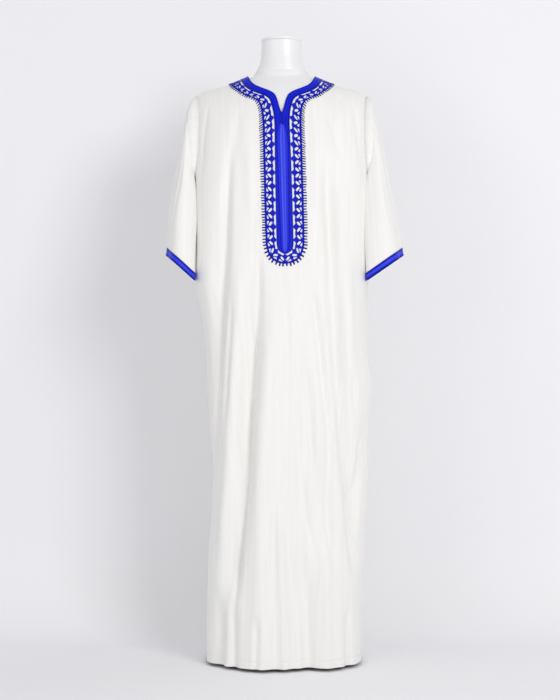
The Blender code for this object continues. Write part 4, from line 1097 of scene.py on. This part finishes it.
def build_lattice():
    """The openwork of stars and links, from the braid to the cords."""
    chart = bmesh.new()
    rims = []
    for loop in (CELL_OUTLINE,) + CELL_GAPS:
        corners = [chart.verts.new((across, along, 0.0)) for across, along in loop]
        rims.extend(chart.edges.new(pair) for pair in zip(corners, corners[1:] + corners[:1]))
    bmesh.ops.triangle_fill(chart, use_beauty=True, edges=rims)
    for _ in range(2):
        long_edges = [edge for edge in chart.edges if edge.calc_length() > CHART_EDGE]
        bmesh.ops.subdivide_edges(chart, edges=long_edges, cuts=1)
        bmesh.ops.triangulate(chart, faces=[face for face in chart.faces if len(face.verts) > 3])
    if sum(face.normal.z * face.calc_area() for face in chart.faces) < 0:
        bmesh.ops.reverse_faces(chart, faces=chart.faces)
    spots = [(side, repeat + 0.5, direction, 1.0)
             for side in (-1, 1) for repeat in range(HALF_REPEATS) for direction in (-1, 1)]
    piece = stamp_chart("border_embroidery", chart, spots, stitched_satin)
    add_wall(piece, LATTICE_HEIGHT)
    rounding = piece.modifiers.new("rounded stitches", "BEVEL")
    rounding.width = STITCH_ROUNDING
    rounding.segments = 2
    rounding.limit_method = "ANGLE"
    rounding.angle_limit = math.radians(50)
    return piece


def build_border_cords():
    """The double line of cord outside the openwork."""
    along = np.linspace(0.0, 1.0, BRAID_ROWS)
    along = np.concatenate((-along[:0:-1], along))
    side = np.where(along < 0, -1.0, 1.0)

    def points_at(shares, lift):
        across = LATTICE_EDGE + (CORDS_EDGE - LATTICE_EDGE) * shares
        x, rise = trim_place("braid", "border", np.abs(along)[:, None], across)
        return trim_points(side[:, None], x, rise, lift)

    return sew_strip("border_cords", CORD_PROFILE, CORD_WIDTH, points_at, along * TRIM_LENGTH, cord_satin,
                     replaced=["neck_border"])


def build_picots():
    """The short picots outside the cords, a little uneven as hand work is."""
    chart = bmesh.new()
    bmesh.ops.create_cone(chart, cap_ends=True, segments=8, radius1=1.0, radius2=PICOT_TAPER, depth=1.0)
    length = PICOT_LENGTH / BORDER_WIDTH
    half_width = PICOT_HALF_WIDTH / TRIM_LENGTH * HALF_REPEATS
    root = CORDS_EDGE - PICOT_TUCK
    for vert in chart.verts:
        along, height, across = vert.co
        vert.co = (root + (across + 0.5) * length, along * half_width, (height + 1.0) * PICOT_HALF_HEIGHT)
    spots = []
    uneven = np.random.default_rng(7)
    for side in (-1, 1):
        for number in range(HALF_REPEATS * PICOTS_PER_REPEAT):
            place = (number + 0.5 + uneven.uniform(-PICOT_DRIFT, PICOT_DRIFT)) / PICOTS_PER_REPEAT
            spots.append((side, place, 1, 1.0 + uneven.uniform(-PICOT_UNEVENNESS, PICOT_UNEVENNESS)))
    return stamp_chart("border_picots", chart, spots, cord_satin, width=CORDS_EDGE)


# The cords' lines of colour follow their profile: painted light on the two cords, painted shade in the groove between
# them and along both edges.
cord_satin = satin_braid("royal_blue_cord", CORD_WIDTH, (
    (0.00, "#061090"), (0.25, "#1626dc"), (0.50, "#08129a"), (0.75, "#1626dc"), (1.00, "#061090"),
))
border_cords = build_border_cords()
lattice = build_lattice()
picots = build_picots()


# Dress form. A plain moulded torso in glossy white plastic, with a flared neck and a
# flat round cap, stands on a steel pole and a round steel base plate.
FORM_RINGS = (
    (0.800, 0.128, 0.082, 0.090), (0.812, 0.146, 0.090, 0.096), (0.900, 0.144, 0.091, 0.096),
    (1.000, 0.136, 0.090, 0.087), (1.100, 0.152, 0.108, 0.098), (1.200, 0.166, 0.120, 0.108),
    (1.280, 0.174, 0.112, 0.102), (1.330, 0.183, 0.104, 0.096), (1.365, 0.192, 0.096, 0.088),
    (1.390, 0.1985, 0.087, 0.080), (1.4055, 0.2010, 0.090, 0.088), (1.4120, 0.1985, 0.090, 0.088),
    (1.4180, 0.1885, 0.090, 0.088), (1.4265, 0.1580, 0.074, 0.066), (1.4350, 0.1285, 0.067, 0.060),
    (1.4425, 0.1080, 0.059, 0.056), (1.4485, 0.0890, 0.053, 0.053), (1.4580, 0.0700, 0.051, 0.054),
    (1.4745, 0.0610, 0.050, 0.054), (1.4870, 0.0550, 0.049, 0.053), (1.5050, 0.0513, 0.047, 0.052),
    (1.5300, 0.0500, 0.046, 0.051), (1.5446, 0.0497, 0.046, 0.051),
)
FORM_ROUNDNESS = 2.15
FORM_GAP = 0.0022
FORM_NECK_Z = 1.444
FORM_NECK_BLEND = 0.026
FORM_SIDES = 96
FORM_ROWS = 150
NECK_CAP = {"radius": 0.0505, "height": 0.0055, "bottom": 1.5449, "middle_y": 0.0025}
ROUND_SIDES = 96
ROUND_EDGE = 0.0012

# Gloss ABS, moulded and polished: an even white skin with a soft orange-peel ripple.
gloss_abs, tree, shader = new_material("gloss_white_abs", {
    "Roughness": 0.36, "IOR": 1.5, "Coat Weight": 0.15, "Coat Roughness": 0.25,
})
place = add_node(tree, "ShaderNodeTexCoord", "Object")
tint = add_ramp(tree, add_noise(tree, place, 9.0), ((0.35, "#f0f0f1"), (0.65, "#f4f4f4")))
dress_shader(tree, shader, tint, add_noise(tree, place, 140.0, detail=1.0), strength=0.03, distance=0.0005)


def yoke_reach(x, z, depth):
    """How far the robe's inner face stands out at a height above the underarm."""
    top = ridge_height(x) - FORM_GAP
    part = np.clip((z - UNDERARM_Z) / (top - UNDERARM_Z), 0.0, 1.0)
    across = np.minimum(np.abs(x) / SHOULDER_HALF_WIDTH, 1.0)
    return depth * (1 - across**SQUARENESS) ** (1 / SQUARENESS) * np.sqrt(1 - part * part)


def build_form():
    """The torso and neck, kept just inside the robe's shoulders."""
    stops = np.linspace(0.0, 1.0, len(FORM_RINGS))
    rows = np.unique(np.concatenate((np.linspace(0.0, 1.0, FORM_ROWS), stops)))
    z = np.interp(rows, stops, column(FORM_RINGS, 0))[:, None]
    width, front, back = (np.interp(rows, stops, column(FORM_RINGS, number))[:, None] for number in (1, 2, 3))
    turn = np.linspace(0.0, 2 * math.pi, FORM_SIDES + 1)[None, :]
    facing_front = np.cos(turn) >= 0
    x = width * np.sin(turn)
    deep = np.where(facing_front, front, back) * np.abs(np.cos(turn)) ** (2 / FORM_ROUNDNESS)
    chest = np.where(facing_front, CHEST_FRONT_DEPTH, CHEST_BACK_DEPTH)
    inside = np.maximum(yoke_reach(x, z, chest) - FORM_GAP, 0.0)
    held = np.where(z > UNDERARM_Z, 1 - ease((z - FORM_NECK_Z) / FORM_NECK_BLEND), 0.0)
    deep = deep - held * np.maximum(deep - inside, 0.0)
    points = np.stack(np.broadcast_arrays(x, np.where(facing_front, -deep, deep), z), axis=-1)
    mesh = shaped_grid(points, paired(turn, z), closed=True)
    close_ends(mesh)
    return finish_piece("form_body", mesh, gloss_abs, "form", ["form_torso"])


def build_round(name, radius, height, bottom, look, slot, node, middle_y=0.0, edge=ROUND_EDGE):
    """A round plate or pole with a softly rounded rim."""
    mesh = bmesh.new()
    bmesh.ops.create_cone(mesh, cap_ends=True, segments=ROUND_SIDES, radius1=radius, radius2=radius, depth=height)
    rims = [part for part in mesh.edges if len(part.link_faces) == 2 and part.calc_face_angle() > 1.0]
    bmesh.ops.bevel(mesh, geom=rims, offset=edge, segments=3, profile=0.5, affect="EDGES", material=-1)
    bmesh.ops.translate(mesh, verts=mesh.verts, vec=(0.0, middle_y, bottom + height / 2))
    return finish_piece(name, mesh, look, slot, [node])


build_form()
build_round("form_cap", look=gloss_abs, slot="form", node="form_neck_cap", **NECK_CAP)


# Stand. The pole and the base plate are mild steel, brushed and lacquered, so the light
# breaks up along fine rings and lines.
POLE_EDGE = 0.0004
BRUSH_STRETCH = (900.0, 900.0, 12.0)
brushed_steel, tree, shader = new_material("brushed_mild_steel", {"Metallic": 1.0, "Roughness": 0.34})
place = add_node(tree, "ShaderNodeTexCoord", "Object")
brush = add_noise(tree, add_node(tree, "ShaderNodeMapping", "Vector", {"Vector": place, "Scale": BRUSH_STRETCH}), 1.0)
dress_shader(tree, shader, add_ramp(tree, brush, ((0.3, "#8d8d90"), (0.7, "#a9a9ac"))), brush,
             strength=0.08, distance=0.0003)

for name, node, edge in (("steel_pole", "stand_pole", POLE_EDGE), ("steel_base", "stand_base", ROUND_EDGE)):
    low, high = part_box(node)
    build_round(name, (high[0] - low[0]) / 2, high[2] - low[2], low[2], brushed_steel, "steel", node, edge=edge)
